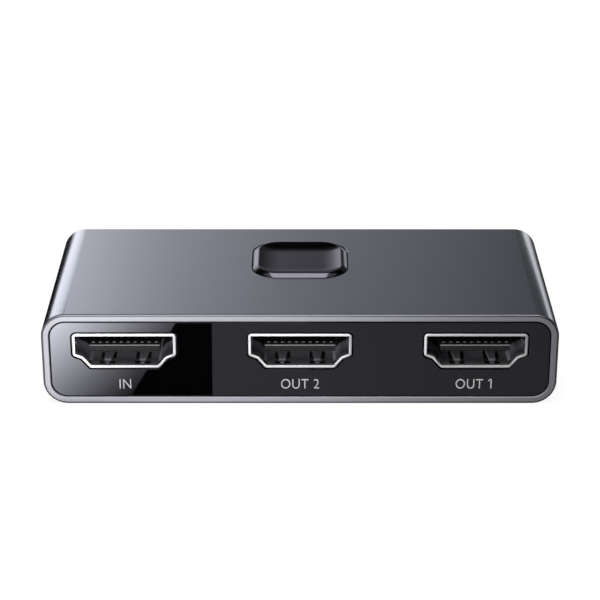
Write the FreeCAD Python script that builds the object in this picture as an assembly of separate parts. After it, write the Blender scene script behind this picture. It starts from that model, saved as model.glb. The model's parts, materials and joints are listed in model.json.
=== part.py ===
import FreeCAD, Part

import math
import os

from FreeCAD import Vector

# Three-port HDMI switch in an extruded aluminium sleeve, sizes in millimetres.
# X runs along the row of ports, Y from the port face to the back, Z up from the surface it stands on.
# The origin is the middle of the footprint, on that surface.

# Sleeve
CASE_WIDTH = 74.0
CASE_DEPTH = 33.0
CASE_HEIGHT = 14.1
CASE_CORNER_RADIUS = 3.5
SLEEVE_WALL = 1.1
SLEEVE_END_CHAMFER = 0.22
SLEEVE_MOUTH_CHAMFER = 0.1

# Fascia plates, the tape behind them and the frames that carry them
FASCIA_RECESS = 0.12
FASCIA_THICKNESS = 1.2
FASCIA_EDGE_CHAMFER = 0.08
FASCIA_CLEARANCE = 0.13
TAPE_THICKNESS = 0.15
TAPE_INSET = 0.3
TAPE_EDGE_INSET = 0.8
FRAME_THICKNESS = 1.5
FRAME_CLEARANCE = 0.08
FRAME_BORDER = 1.6
FRAME_PORT_GAP = 0.355
FRAME_POST_WIDTH = 3.2

# HDMI receptacle: plug opening
PORT_END_DISTANCE = 11.82
PORT_COUNT = 3
PORT_RISE_OVER_MIDDLE = 1.34
PORT_OPENING_WIDTH = 14.0
PORT_OPENING_HEIGHT = 4.55
PORT_SIDE_DROP = 2.75
PORT_SHOULDER_INSET = 1.1
PORT_SHOULDER_DROP = 0.42
PORT_FLOOR_WIDTH = 9.5
PORT_SHOULDER_RADIUS = 0.62
PORT_HOLE_CLEARANCE = 0.15

# HDMI receptacle: shell of folded sheet
SHELL_DEPTH = 11.0
SHELL_SHEET = 0.3
SHELL_LIP_WIDTH = 0.5
SHELL_LIP_RADIUS = 0.6
SHELL_LIP_DEPTH = 0.6
SHELL_LEAD_IN = 0.14
SHELL_LEG_WIDTH = 1.2
SHELL_LEG_BELOW_BOARD = 0.6
SHELL_FRONT_LEG_SETBACK = 4.6
SHELL_LEG_SPACING = 5.0

# Spring fingers cut from the shell
FINGER_START = 0.75
FINGER_LENGTH = 4.3
FINGER_CREST_SETBACK = 0.95
FINGER_TIP_DIP = 0.25
FINGER_TIP_CHAMFER = 0.28
FINGER_ROOT_WIDTH = 1.35
FINGER_TIP_WIDTH = 0.88
SIDE_FINGER_ROOT_WIDTH = 0.95
SIDE_FINGER_TIP_WIDTH = 0.7
FINGER_SHEET = 0.22
FINGER_RISE = 0.36
FINGER_SLOT = 0.68
SIDE_FINGER_SLOT = 0.4
FINGER_SPACING = 5.05

# HDMI receptacle: insulator and contacts
TONGUE_SETBACK = 1.0
TONGUE_WIDTH = 10.1
TONGUE_THICKNESS = 1.4
TONGUE_ABOVE_FLOOR = 1.62
TONGUE_NOSE_LENGTH = 0.5
TONGUE_NOSE_DROP = 0.3
INSULATOR_BASE_DEPTH = 2.6
INSULATOR_CLEARANCE = 0.02
CONTACT_PITCH = 1.0
CONTACT_WIDTH = 0.42
CONTACT_SHEET = 0.12
CONTACT_PROUD = 0.04
CONTACT_NOSE_REACH = 0.35
CONTACT_ROW_SETBACK = 0.95
CONTACT_FOOT_LENGTH = 0.7
UPPER_CONTACTS = 10
LOWER_CONTACTS = 9

# Circuit board, its tray and its screws
BOARD_THICKNESS = 1.2
BOARD_FRONT_GAP = 0.15
BOARD_REAR_GAP = 0.6
BOARD_SIDE_GAP = 1.5
BOARD_SLOT_CLEARANCE = 0.15
TRAY_FLOOR = 1.0
TRAY_WALL = 1.0
TRAY_SIDE_GAP = 1.0
STANDOFF_SIZE = 4.2
SWITCH_POST_SIZE = 3.0
SCREW_DIAMETER = 2.0
SCREW_LENGTH = 4.0
SCREW_HEAD_DIAMETER = 3.5
SCREW_HEAD_HEIGHT = 1.2
SCREW_PILOT_CLEARANCE = 0.02
SCREW_BOARD_CLEARANCE = 0.12
SCREW_SETBACK = 2.6

# Push button
BUTTON_WIDTH = 14.2
BUTTON_FRONT_SETBACK = 13.31
BUTTON_REAR_SETBACK = 5.79
BUTTON_CORNER_RADIUS = 4.0
BUTTON_GAP = 0.12
BUTTON_RISE = 0.5
BUTTON_BEVEL_WIDTH = 0.88
BUTTON_DISH_DEPTH = 0.4
BUTTON_DISH_RAMP = 2.9
BUTTON_TRAVEL = 0.4
BUTTON_FLANGE_LIP = 0.7
BUTTON_FLANGE_THICKNESS = 0.8
BUTTON_TOP_STOP_GAP = 0.04
BUTTON_STEM_DIAMETER = 4.4
BUTTON_STEM_LENGTH = 0.8
DISH_STEPS = 4

# Guide round the button's flange
GUIDE_CLEARANCE = 0.1
GUIDE_WALL = 0.9
GUIDE_BOTTOM_STOP_GAP = 0.1
GUIDE_LEDGE_THICKNESS = 0.5
GUIDE_LEDGE_REACH = 2.4

# Tactile switch
SWITCH_SIZE = 6.0
SWITCH_BASE_HEIGHT = 3.2
SWITCH_COVER_THICKNESS = 0.3
SWITCH_WELL_DIAMETER = 4.8
SWITCH_WELL_DEPTH = 2.3
PLUNGER_DIAMETER = 3.4
PLUNGER_FLANGE_DIAMETER = 4.5
PLUNGER_CLEARANCE = 0.06
PLUNGER_PLAY = 0.04
DOME_DIAMETER = 4.3
DOME_TOP_DIAMETER = 2.2
DOME_HEIGHT = 0.6
DOME_SHEET = 0.1
TERMINAL_WIDTH = 0.7
TERMINAL_SHEET = 0.25
TERMINAL_HEIGHT = 0.9
TERMINAL_REACH = 1.2
TERMINAL_SHOULDER = 0.6
TERMINAL_SPACING = 4.5

# Parts soldered to the board
SWITCH_CHIP_SIZE = 7.0
SWITCH_CHIP_HEIGHT = 0.85
CHIP_END_DISTANCE = 16.9
TOGGLE_CHIP_WIDTH = 3.9
TOGGLE_CHIP_LENGTH = 4.9
TOGGLE_CHIP_HEIGHT = 1.4
TOGGLE_CHIP_STANDOFF = 0.1
TOGGLE_LEADS_PER_SIDE = 4
TOGGLE_LEAD_PITCH = 1.27
TOGGLE_LEAD_WIDTH = 0.4
TOGGLE_LEAD_REACH = 1.0
TOGGLE_LEAD_SHEET = 0.18
TOGGLE_LEAD_SHOULDER = 0.5
CHIP_CORNER_CHAMFER = 0.4
ARRAY_LENGTH = 2.5
ARRAY_WIDTH = 1.0
ARRAY_HEIGHT = 0.5
ARRAY_SPACING = 4.4
ARRAY_GAP_BEHIND_PORT = 2.4
DIODE_LENGTH = 2.5
DIODE_WIDTH = 1.3
DIODE_HEIGHT = 1.0
DIODE_REAR_GAP = 1.0
CHIP_PART_LENGTH = 1.6
CHIP_PART_WIDTH = 0.8
CAPACITOR_HEIGHT = 0.8
RESISTOR_HEIGHT = 0.45
CHIP_PART_PITCH = 1.6
CHIP_PART_GAP = 1.4
PARTS_IN_ROW = 6

# Sides shorter than this are left out of an outline
SMALLEST_EDGE = 1e-6

# Places that follow from the sizes above
HALF_WIDTH = CASE_WIDTH / 2
HALF_DEPTH = CASE_DEPTH / 2
FLOOR_Z = SLEEVE_WALL
CEILING_Z = CASE_HEIGHT - SLEEVE_WALL
INNER_HALF_WIDTH = HALF_WIDTH - SLEEVE_WALL

FASCIA_FRONT_Y = -HALF_DEPTH + FASCIA_RECESS
FASCIA_BACK_Y = FASCIA_FRONT_Y + FASCIA_THICKNESS
FRAME_FRONT_Y = FASCIA_BACK_Y + TAPE_THICKNESS
FRAME_BACK_Y = FRAME_FRONT_Y + FRAME_THICKNESS

PORT_PITCH = (CASE_WIDTH - 2 * PORT_END_DISTANCE) / (PORT_COUNT - 1)
PORT_CENTRE_Z = CASE_HEIGHT / 2 + PORT_RISE_OVER_MIDDLE
PORT_FLOOR_Z = PORT_CENTRE_Z - PORT_OPENING_HEIGHT / 2
PORT_ROOF_Z = PORT_CENTRE_Z + PORT_OPENING_HEIGHT / 2
PORT_BACK_Y = FASCIA_FRONT_Y + SHELL_DEPTH
TONGUE_BOTTOM_Z = PORT_FLOOR_Z + TONGUE_ABOVE_FLOOR
TONGUE_TOP_Z = TONGUE_BOTTOM_Z + TONGUE_THICKNESS

BOARD_TOP_Z = PORT_FLOOR_Z - SHELL_SHEET
BOARD_BOTTOM_Z = BOARD_TOP_Z - BOARD_THICKNESS
BOARD_FRONT_Y = FRAME_BACK_Y + BOARD_FRONT_GAP
BOARD_REAR_Y = -FRAME_BACK_Y - BOARD_REAR_GAP
BOARD_HALF_WIDTH = INNER_HALF_WIDTH - BOARD_SIDE_GAP
TRAY_HALF_WIDTH = INNER_HALF_WIDTH - TRAY_SIDE_GAP
CHIP_OFFSET = BOARD_HALF_WIDTH - CHIP_END_DISTANCE

BUTTON_DEPTH = CASE_DEPTH - BUTTON_FRONT_SETBACK - BUTTON_REAR_SETBACK
BUTTON_Y = -HALF_DEPTH + BUTTON_FRONT_SETBACK + BUTTON_DEPTH / 2
FLANGE_TOP_Z = CEILING_Z - BUTTON_TOP_STOP_GAP
FLANGE_BOTTOM_Z = FLANGE_TOP_Z - BUTTON_FLANGE_THICKNESS
STEM_BOTTOM_Z = FLANGE_BOTTOM_Z - BUTTON_STEM_LENGTH
LEDGE_TOP_Z = FLANGE_BOTTOM_Z - BUTTON_TRAVEL - GUIDE_BOTTOM_STOP_GAP
SWITCH_BASE_TOP_Z = BOARD_TOP_Z + SWITCH_BASE_HEIGHT
SWITCH_WELL_FLOOR_Z = SWITCH_BASE_TOP_Z - SWITCH_WELL_DEPTH
PLUNGER_TOP_Z = STEM_BOTTOM_Z - PLUNGER_PLAY
SHELL_HALF_WIDTH = PORT_OPENING_WIDTH / 2 + SHELL_SHEET


def block(low, high):
    """Box between two opposite corners."""
    size = Vector(*high) - Vector(*low)
    return Part.makeBox(size.x, size.y, size.z, Vector(*low))


def upright_cylinder(diameter, x, y, low_z, high_z):
    """Cylinder along Z."""
    return Part.makeCylinder(diameter / 2, high_z - low_z, Vector(x, y, low_z))


def joined(shapes):
    """One solid from shapes that touch or overlap."""
    return shapes[0].multiFuse(shapes[1:]).removeSplitter()


def group(shapes):
    """Separate solids that make one sub-part."""
    return Part.makeCompound(shapes)


def in_section(y):
    """Places an outline's (u, v) in the upright plane at y, as (x, z)."""
    return lambda u, v: Vector(u, y, v)


def in_plan(z):
    """Places an outline's (u, v) in the level plane at z, as (x, y)."""
    return lambda u, v: Vector(u, v, z)


def rectangle(width, height, radius, centre_u=0.0, centre_v=0.0):
    """Corners (u, v, radius) of a rounded rectangle, anticlockwise."""
    half_u = width / 2
    half_v = height / 2
    signs = [(-1, -1), (1, -1), (1, 1), (-1, 1)]
    return [(centre_u + su * half_u, centre_v + sv * half_v, radius) for su, sv in signs]


def grown(corners, distance):
    """The same anticlockwise outline, moved outwards on every side; sharp corners stay sharp."""
    moved = []
    count = len(corners)
    for index, (u, v, radius) in enumerate(corners):
        here = Vector(u, v, 0)
        incoming = (here - Vector(*corners[index - 1][:2], 0)).normalize()
        outgoing = (Vector(*corners[(index + 1) % count][:2], 0) - here).normalize()
        normal_in = Vector(incoming.y, -incoming.x, 0)
        normal_out = Vector(outgoing.y, -outgoing.x, 0)
        shift = (normal_in + normal_out) * (distance / (1 + normal_in.dot(normal_out)))
        bulges = incoming.cross(outgoing).z > 0
        new_radius = radius + distance if bulges else radius - distance
        moved.append((u + shift.x, v + shift.y, max(new_radius, 0.0) if radius > 0 else 0.0))
    return moved


def rounded_wire(corners, place):
    """Closed wire through corners (u, v, radius), each rounded by an arc tangent to its sides."""
    count = len(corners)
    starts = []
    ends = []
    arcs = []
    for index, (u, v, radius) in enumerate(corners):
        here = Vector(u, v, 0)
        back = (Vector(*corners[index - 1][:2], 0) - here).normalize()
        ahead = (Vector(*corners[(index + 1) % count][:2], 0) - here).normalize()
        half_angle = back.getAngle(ahead) / 2
        setback = radius / math.tan(half_angle)
        towards_centre = (back + ahead).normalize()
        start = here + back * setback
        end = here + ahead * setback
        middle = here + towards_centre * (radius / math.sin(half_angle) - radius)
        starts.append(place(start.x, start.y))
        ends.append(place(end.x, end.y))
        arcs.append(place(middle.x, middle.y) if radius > 0 else None)
    edges = []
    for index in range(count):
        if arcs[index] is not None:
            edges.append(Part.Arc(starts[index], arcs[index], ends[index]).toShape())
        following = starts[(index + 1) % count]
        if ends[index].distanceToPoint(following) > SMALLEST_EDGE:
            edges.append(Part.LineSegment(ends[index], following).toShape())
    return Part.Wire(edges)


def bar(corners, low_y, high_y):
    """Outline in (x, z) extruded along Y."""
    face = Part.Face(rounded_wire(corners, in_section(low_y)))
    return face.extrude(Vector(0, high_y - low_y, 0))


def slab(corners, low_z, high_z):
    """Outline in (x, y) extruded along Z."""
    face = Part.Face(rounded_wire(corners, in_plan(low_z)))
    return face.extrude(Vector(0, 0, high_z - low_z))


def tapered_bar(corners, low_y, high_y, low_growth, high_growth):
    """Outline in (x, z) that grows evenly along Y, for chamfers and lead-ins."""
    near = rounded_wire(grown(corners, low_growth), in_section(low_y))
    far = rounded_wire(grown(corners, high_growth), in_section(high_y))
    return Part.makeLoft([near, far], True, True)


def mirrored_in_depth(shape):
    """The same piece at the other end of the case."""
    return shape.mirror(Vector(0, 0, 0), Vector(0, 1, 0))


def port_centres():
    """X of each port, from left to right."""
    middle = (PORT_COUNT - 1) / 2
    return [(index - middle) * PORT_PITCH for index in range(PORT_COUNT)]


# Sleeve

def case_outline():
    """Outside of the sleeve's section."""
    return rectangle(CASE_WIDTH, CASE_HEIGHT, CASE_CORNER_RADIUS, 0, CASE_HEIGHT / 2)


def bore_outline():
    """Inside of the sleeve's section."""
    return grown(case_outline(), -SLEEVE_WALL)


def button_outline():
    """Plan of the button where it passes through the sleeve."""
    return rectangle(BUTTON_WIDTH, BUTTON_DEPTH, BUTTON_CORNER_RADIUS, 0, BUTTON_Y)


def sleeve():
    """Extruded tube with turned end chamfers and the button's opening."""
    outside = case_outline()
    chamfer_start = HALF_DEPTH - SLEEVE_END_CHAMFER
    body = bar(outside, -chamfer_start, chamfer_start)
    nose = tapered_bar(outside, -HALF_DEPTH, -chamfer_start, -SLEEVE_END_CHAMFER, 0)
    body = joined([body, nose, mirrored_in_depth(nose)])
    mouth_end = -HALF_DEPTH + SLEEVE_MOUTH_CHAMFER
    mouth = tapered_bar(bore_outline(), -HALF_DEPTH, mouth_end, SLEEVE_MOUTH_CHAMFER, 0)
    body = body.cut(bar(bore_outline(), -HALF_DEPTH, HALF_DEPTH))
    body = body.cut(mouth).cut(mirrored_in_depth(mouth))
    opening = slab(grown(button_outline(), BUTTON_GAP), CEILING_Z - SLEEVE_WALL, CASE_HEIGHT + SLEEVE_WALL)
    return body.cut(opening)


# Fascias and their frames

def fascia_plate():
    """Plate that fills the sleeve's end, at the port end."""
    outline = grown(bore_outline(), -FASCIA_CLEARANCE)
    edge_end = FASCIA_FRONT_Y + FASCIA_EDGE_CHAMFER
    plate = bar(outline, edge_end, FASCIA_BACK_Y)
    edge = tapered_bar(outline, FASCIA_FRONT_Y, edge_end, -FASCIA_EDGE_CHAMFER, 0)
    return joined([plate, edge])


def front_fascia():
    """Fascia with a hole for each receptacle's lip."""
    hole = grown(lip_outline(), PORT_HOLE_CLEARANCE)
    plate = fascia_plate()
    for x in port_centres():
        cutter = bar(hole, FASCIA_FRONT_Y - FASCIA_THICKNESS, FASCIA_BACK_Y + FASCIA_THICKNESS)
        plate = plate.cut(cutter.translated(Vector(x, 0, 0)))
    return plate


def rear_fascia():
    """Plain fascia at the back."""
    return mirrored_in_depth(fascia_plate())


def frame_outline():
    """Outside of the frames that slide into the sleeve."""
    return grown(bore_outline(), -FRAME_CLEARANCE)


def frame_window():
    """Opening inside a frame's border, whose top edge runs just above the receptacles."""
    width = 2 * (INNER_HALF_WIDTH - FRAME_CLEARANCE - FRAME_BORDER)
    low_z = FLOOR_Z + FRAME_CLEARANCE + FRAME_BORDER
    high_z = PORT_ROOF_Z + SHELL_SHEET + FRAME_PORT_GAP
    return rectangle(width, high_z - low_z, 0.0, 0, (low_z + high_z) / 2)


def fascia_tape():
    """Die-cut ring of tape between a fascia and its frame's border, cut with square corners."""
    outside = [(u, v, 0.0) for u, v, radius in grown(frame_outline(), -TAPE_EDGE_INSET)]
    inside = grown(frame_window(), TAPE_INSET)
    ring = bar(outside, FASCIA_BACK_Y, FRAME_FRONT_Y)
    return ring.cut(bar(inside, FASCIA_BACK_Y, FRAME_FRONT_Y))


def carrier_frame():
    """Frame with a post between each two windows."""
    frame = bar(frame_outline(), FRAME_FRONT_Y, FRAME_BACK_Y)
    frame = frame.cut(bar(frame_window(), FRAME_FRONT_Y, FRAME_BACK_Y))
    centres = port_centres()
    pieces = [frame]
    for left, right in zip(centres, centres[1:]):
        middle = (left + right) / 2
        low = (middle - FRAME_POST_WIDTH / 2, FRAME_FRONT_Y, FLOOR_Z + FRAME_CLEARANCE)
        high = (middle + FRAME_POST_WIDTH / 2, FRAME_BACK_Y, CEILING_Z - FRAME_CLEARANCE)
        pieces.append(block(low, high))
    return joined(pieces)


# HDMI receptacle

def port_outline():
    """Plug opening as (x, z): straight sides, a shoulder, then a slope to a narrower floor."""
    half_width = PORT_OPENING_WIDTH / 2
    side_end_z = PORT_ROOF_Z - PORT_SIDE_DROP
    shoulder_x = half_width - PORT_SHOULDER_INSET
    shoulder_z = side_end_z - PORT_SHOULDER_DROP
    right = [
        (PORT_FLOOR_WIDTH / 2, PORT_FLOOR_Z, 0.0),
        (shoulder_x, shoulder_z, PORT_SHOULDER_RADIUS),
        (half_width, side_end_z, 0.0),
        (half_width, PORT_ROOF_Z, 0.0),
    ]
    left = [(-x, z, radius) for x, z, radius in reversed(right)]
    return right + left


def lip_outline():
    """Outside of the lip turned out round the opening, rounded where it bulges."""
    corners = grown(port_outline(), SHELL_LIP_WIDTH)
    return [(u, v, 0.0 if radius > 0 else SHELL_LIP_RADIUS) for u, v, radius in corners]


def finger_plan(root_width, tip_width, extra):
    """Plan of a spring finger with its free end at the front, widened all round by extra."""
    root_y = FINGER_START + FINGER_LENGTH
    tip_y = FINGER_START - extra
    root = root_width / 2 + extra
    tip = tip_width / 2 + extra
    chamfer = FINGER_TIP_CHAMFER + extra * (2 - math.sqrt(2))
    right = [(tip - chamfer, tip_y, 0.0), (tip, tip_y + chamfer, 0.0), (root, root_y, 0.0)]
    left = [(-x, y, radius) for x, y, radius in reversed(right)]
    return right + left


def finger_window(tip_width, slot):
    """Straight-sided window for a finger, a slot wider at its tip all round and kept clear of the lip."""
    window = slab(finger_plan(tip_width, tip_width, slot), -2 * SHELL_SHEET, SHELL_SHEET)
    reach = tip_width / 2 + slot
    lip = block((-reach, 0, -SHELL_LIP_WIDTH), (reach, SHELL_LIP_DEPTH, SHELL_LIP_WIDTH))
    return window.cut(lip)


def finger_blade(root_width, tip_width):
    """Spring finger in a level sheet whose inner face is z = 0, its crest rising into the opening."""
    root_y = FINGER_START + FINGER_LENGTH
    crest_y = FINGER_START + FINGER_CREST_SETBACK
    tip_height = FINGER_RISE - FINGER_TIP_DIP
    side = [
        Vector(0, root_y, 0),
        Vector(0, crest_y, FINGER_RISE),
        Vector(0, FINGER_START, tip_height),
        Vector(0, FINGER_START, tip_height - FINGER_SHEET),
        Vector(0, crest_y, FINGER_RISE - FINGER_SHEET),
        Vector(0, root_y, -SHELL_SHEET),
    ]
    profile = Part.Face(Part.makePolygon(side + side[:1]))
    strip = profile.extrude(Vector(root_width, 0, 0))
    strip.translate(Vector(-root_width / 2, 0, 0))
    plan = slab(finger_plan(root_width, tip_width, 0.0), -SHELL_SHEET, FINGER_RISE)
    return strip.common(plan)


def set_finger(shape, turn, x, z):
    """Carries a shape from the level sheet to its wall, by a turn about Y and a shift."""
    placed = shape.copy()
    placed.rotate(Vector(0, 0, 0), Vector(0, 1, 0), turn)
    placed.translate(Vector(x, FASCIA_FRONT_Y, z))
    return placed


def on_shell_walls(wide, narrow):
    """The wide shape twice in the floor and twice in the roof, and the narrow one in each side."""
    side_z = PORT_ROOF_Z - PORT_SIDE_DROP / 2
    half_width = PORT_OPENING_WIDTH / 2
    placed = []
    for x in (-FINGER_SPACING / 2, FINGER_SPACING / 2):
        placed.append(set_finger(wide, 0, x, PORT_FLOOR_Z))
        placed.append(set_finger(wide, 180, x, PORT_ROOF_Z))
    placed.append(set_finger(narrow, 90, -half_width, side_z))
    placed.append(set_finger(narrow, -90, half_width, side_z))
    return placed


def leg_places():
    """Side and front Y of each leg that goes through the board."""
    first = FASCIA_FRONT_Y + SHELL_FRONT_LEG_SETBACK
    return [(side, first + row * SHELL_LEG_SPACING) for side in (-1, 1) for row in range(2)]


def leg_block(side, low_y, low_z, high_z, clearance):
    """One leg of the shell, or with a clearance the slot that takes it."""
    outer_x = SHELL_HALF_WIDTH + clearance
    inner_x = SHELL_HALF_WIDTH - SHELL_SHEET - clearance
    low_x = inner_x if side > 0 else -outer_x
    high_x = outer_x if side > 0 else -inner_x
    low = (low_x, low_y - clearance, low_z)
    high = (high_x, low_y + SHELL_LEG_WIDTH + clearance, high_z)
    return block(low, high)


def port_shell():
    """Folded sheet shell with its lip, lead-in, spring fingers and board legs, at x = 0."""
    opening = port_outline()
    lip_back_y = FASCIA_FRONT_Y + SHELL_LIP_DEPTH
    tube = bar(grown(opening, SHELL_SHEET), FASCIA_FRONT_Y, PORT_BACK_Y)
    lip = bar(lip_outline(), FASCIA_FRONT_Y, lip_back_y)
    leg_top_z = PORT_ROOF_Z - PORT_SIDE_DROP / 2
    leg_bottom_z = BOARD_BOTTOM_Z - SHELL_LEG_BELOW_BOARD
    legs = [leg_block(side, y, leg_bottom_z, leg_top_z, 0.0) for side, y in leg_places()]
    shell = joined([tube, lip] + legs)
    shell = shell.cut(bar(opening, FASCIA_FRONT_Y, PORT_BACK_Y))
    lead_in_end = FASCIA_FRONT_Y + SHELL_LEAD_IN
    shell = shell.cut(tapered_bar(opening, FASCIA_FRONT_Y, lead_in_end, SHELL_LEAD_IN, 0))
    window = finger_window(FINGER_TIP_WIDTH, FINGER_SLOT)
    side_window = finger_window(SIDE_FINGER_TIP_WIDTH, SIDE_FINGER_SLOT)
    blade = finger_blade(FINGER_ROOT_WIDTH, FINGER_TIP_WIDTH)
    side_blade = finger_blade(SIDE_FINGER_ROOT_WIDTH, SIDE_FINGER_TIP_WIDTH)
    shell = shell.cut(on_shell_walls(window, side_window))
    return joined([shell] + on_shell_walls(blade, side_blade))


def contact_columns(count):
    """X of each contact in a row of count."""
    return [(index - (count - 1) / 2) * CONTACT_PITCH for index in range(count)]


def contact(x, blade_low_z, leg_y, tip_side):
    """Bent strip: tip along the nose's slope, blade along the tongue, leg behind the base, foot on the board."""
    bend_y = FASCIA_FRONT_Y + TONGUE_SETBACK + TONGUE_NOSE_LENGTH
    tip_y = bend_y - CONTACT_NOSE_REACH
    tip_rise = tip_side * CONTACT_NOSE_REACH * TONGUE_NOSE_DROP / TONGUE_NOSE_LENGTH
    foot_end_y = leg_y + CONTACT_SHEET + CONTACT_FOOT_LENGTH
    blade_high_z = blade_low_z + CONTACT_SHEET
    foot_high_z = BOARD_TOP_Z + CONTACT_SHEET
    low_x = x - CONTACT_WIDTH / 2
    side = [
        Vector(low_x, tip_y, blade_low_z + tip_rise),
        Vector(low_x, bend_y, blade_low_z),
        Vector(low_x, leg_y, blade_low_z),
        Vector(low_x, leg_y, BOARD_TOP_Z),
        Vector(low_x, foot_end_y, BOARD_TOP_Z),
        Vector(low_x, foot_end_y, foot_high_z),
        Vector(low_x, leg_y + CONTACT_SHEET, foot_high_z),
        Vector(low_x, leg_y + CONTACT_SHEET, blade_high_z),
        Vector(low_x, bend_y, blade_high_z),
        Vector(low_x, tip_y, blade_high_z + tip_rise),
    ]
    return Part.Face(Part.makePolygon(side + side[:1])).extrude(Vector(CONTACT_WIDTH, 0, 0))


def port_contacts():
    """Ten contacts on top of the tongue and nine beneath it, half a pitch between them."""
    upper_z = TONGUE_TOP_Z + CONTACT_PROUD - CONTACT_SHEET
    lower_z = TONGUE_BOTTOM_Z - CONTACT_PROUD
    upper_leg_y = PORT_BACK_Y + CONTACT_ROW_SETBACK
    upper = [contact(x, upper_z, upper_leg_y, -1) for x in contact_columns(UPPER_CONTACTS)]
    lower = [contact(x, lower_z, PORT_BACK_Y, 1) for x in contact_columns(LOWER_CONTACTS)]
    return group(upper + lower)


def port_insulator(contacts):
    """Moulded base with the tongue, grooved for the contacts."""
    base_front_y = PORT_BACK_Y - INSULATOR_BASE_DEPTH
    base = bar(grown(port_outline(), -INSULATOR_CLEARANCE), base_front_y, PORT_BACK_Y)
    tip_y = FASCIA_FRONT_Y + TONGUE_SETBACK
    nose_end_y = tip_y + TONGUE_NOSE_LENGTH
    side = [
        Vector(0, base_front_y, TONGUE_BOTTOM_Z),
        Vector(0, nose_end_y, TONGUE_BOTTOM_Z),
        Vector(0, tip_y, TONGUE_BOTTOM_Z + TONGUE_NOSE_DROP),
        Vector(0, tip_y, TONGUE_TOP_Z - TONGUE_NOSE_DROP),
        Vector(0, nose_end_y, TONGUE_TOP_Z),
        Vector(0, base_front_y, TONGUE_TOP_Z),
    ]
    tongue = Part.Face(Part.makePolygon(side + side[:1])).extrude(Vector(TONGUE_WIDTH, 0, 0))
    tongue.translate(Vector(-TONGUE_WIDTH / 2, 0, 0))
    body = joined([base, tongue])
    return body.cut(contacts)


# Circuit board, tray and screws

def screw_places():
    """X and Y of the two screws, one between each two ports."""
    y = BOARD_FRONT_Y + SCREW_SETBACK
    return [(-PORT_PITCH / 2, y), (PORT_PITCH / 2, y)]


def channel_section(half_width, low_z, radius):
    """Section (x, z) up to the board's underside, with rounded bottom corners."""
    return [
        (-half_width, low_z, radius),
        (half_width, low_z, radius),
        (half_width, BOARD_BOTTOM_Z, 0.0),
        (-half_width, BOARD_BOTTOM_Z, 0.0),
    ]


def chassis_tray():
    """Moulded channel that carries the board's edges, its screws and the push on its switch."""
    rear_y = -FRAME_BACK_Y
    outer_radius = CASE_CORNER_RADIUS - SLEEVE_WALL
    outside = channel_section(TRAY_HALF_WIDTH, FLOOR_Z, outer_radius)
    inside = channel_section(TRAY_HALF_WIDTH - TRAY_WALL, FLOOR_Z + TRAY_FLOOR, outer_radius - TRAY_WALL)
    pieces = [bar(outside, FRAME_BACK_Y, rear_y).cut(bar(inside, FRAME_BACK_Y, rear_y))]
    root_z = FLOOR_Z + TRAY_FLOOR / 2
    for x, y in screw_places():
        standoff = rectangle(STANDOFF_SIZE, STANDOFF_SIZE, 0.0, x, y)
        pieces.append(slab(standoff, root_z, BOARD_BOTTOM_Z))
    post = rectangle(SWITCH_POST_SIZE, SWITCH_POST_SIZE, 0.0, 0, BUTTON_Y)
    pieces.append(slab(post, root_z, BOARD_BOTTOM_Z))
    tray = joined(pieces)
    pilot = SCREW_DIAMETER + 2 * SCREW_PILOT_CLEARANCE
    pilot_bottom_z = BOARD_TOP_Z - SCREW_LENGTH - SCREW_PILOT_CLEARANCE
    for x, y in screw_places():
        tray = tray.cut(upright_cylinder(pilot, x, y, pilot_bottom_z, BOARD_TOP_Z))
    return tray


def board_screws():
    """Two cheese-head screws through the board into the standoffs."""
    screws = []
    for x, y in screw_places():
        head = upright_cylinder(SCREW_HEAD_DIAMETER, x, y, BOARD_TOP_Z, BOARD_TOP_Z + SCREW_HEAD_HEIGHT)
        shank = upright_cylinder(SCREW_DIAMETER, x, y, BOARD_TOP_Z - SCREW_LENGTH, BOARD_TOP_Z)
        screws.append(joined([head, shank]))
    return group(screws)


def circuit_board():
    """Board with screw holes and the slots for the shells' legs."""
    low = (-BOARD_HALF_WIDTH, BOARD_FRONT_Y, BOARD_BOTTOM_Z)
    board = block(low, (BOARD_HALF_WIDTH, BOARD_REAR_Y, BOARD_TOP_Z))
    cutters = []
    for x, y in screw_places():
        hole = SCREW_DIAMETER + 2 * SCREW_BOARD_CLEARANCE
        cutters.append(upright_cylinder(hole, x, y, BOARD_BOTTOM_Z, BOARD_TOP_Z))
    for x in port_centres():
        for side, y in leg_places():
            slot = leg_block(side, y, BOARD_BOTTOM_Z, BOARD_TOP_Z, BOARD_SLOT_CLEARANCE)
            cutters.append(slot.translated(Vector(x, 0, 0)))
    return board.cut(cutters)


# Push button and its guide

def flange_outline():
    """Plan of the square-cornered flange that keeps the button in the case."""
    width = BUTTON_WIDTH + 2 * BUTTON_FLANGE_LIP
    return rectangle(width, BUTTON_DEPTH + 2 * BUTTON_FLANGE_LIP, 0.0, 0, BUTTON_Y)


def dish_steps():
    """Distance in from the rim and drop of each ring of the dish, a parabola down to a level middle."""
    steps = []
    for step in range(DISH_STEPS):
        share = step / (DISH_STEPS - 1)
        steps.append((share * BUTTON_DISH_RAMP, BUTTON_DISH_DEPTH * (1 - (1 - share) ** 2)))
    return steps


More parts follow.
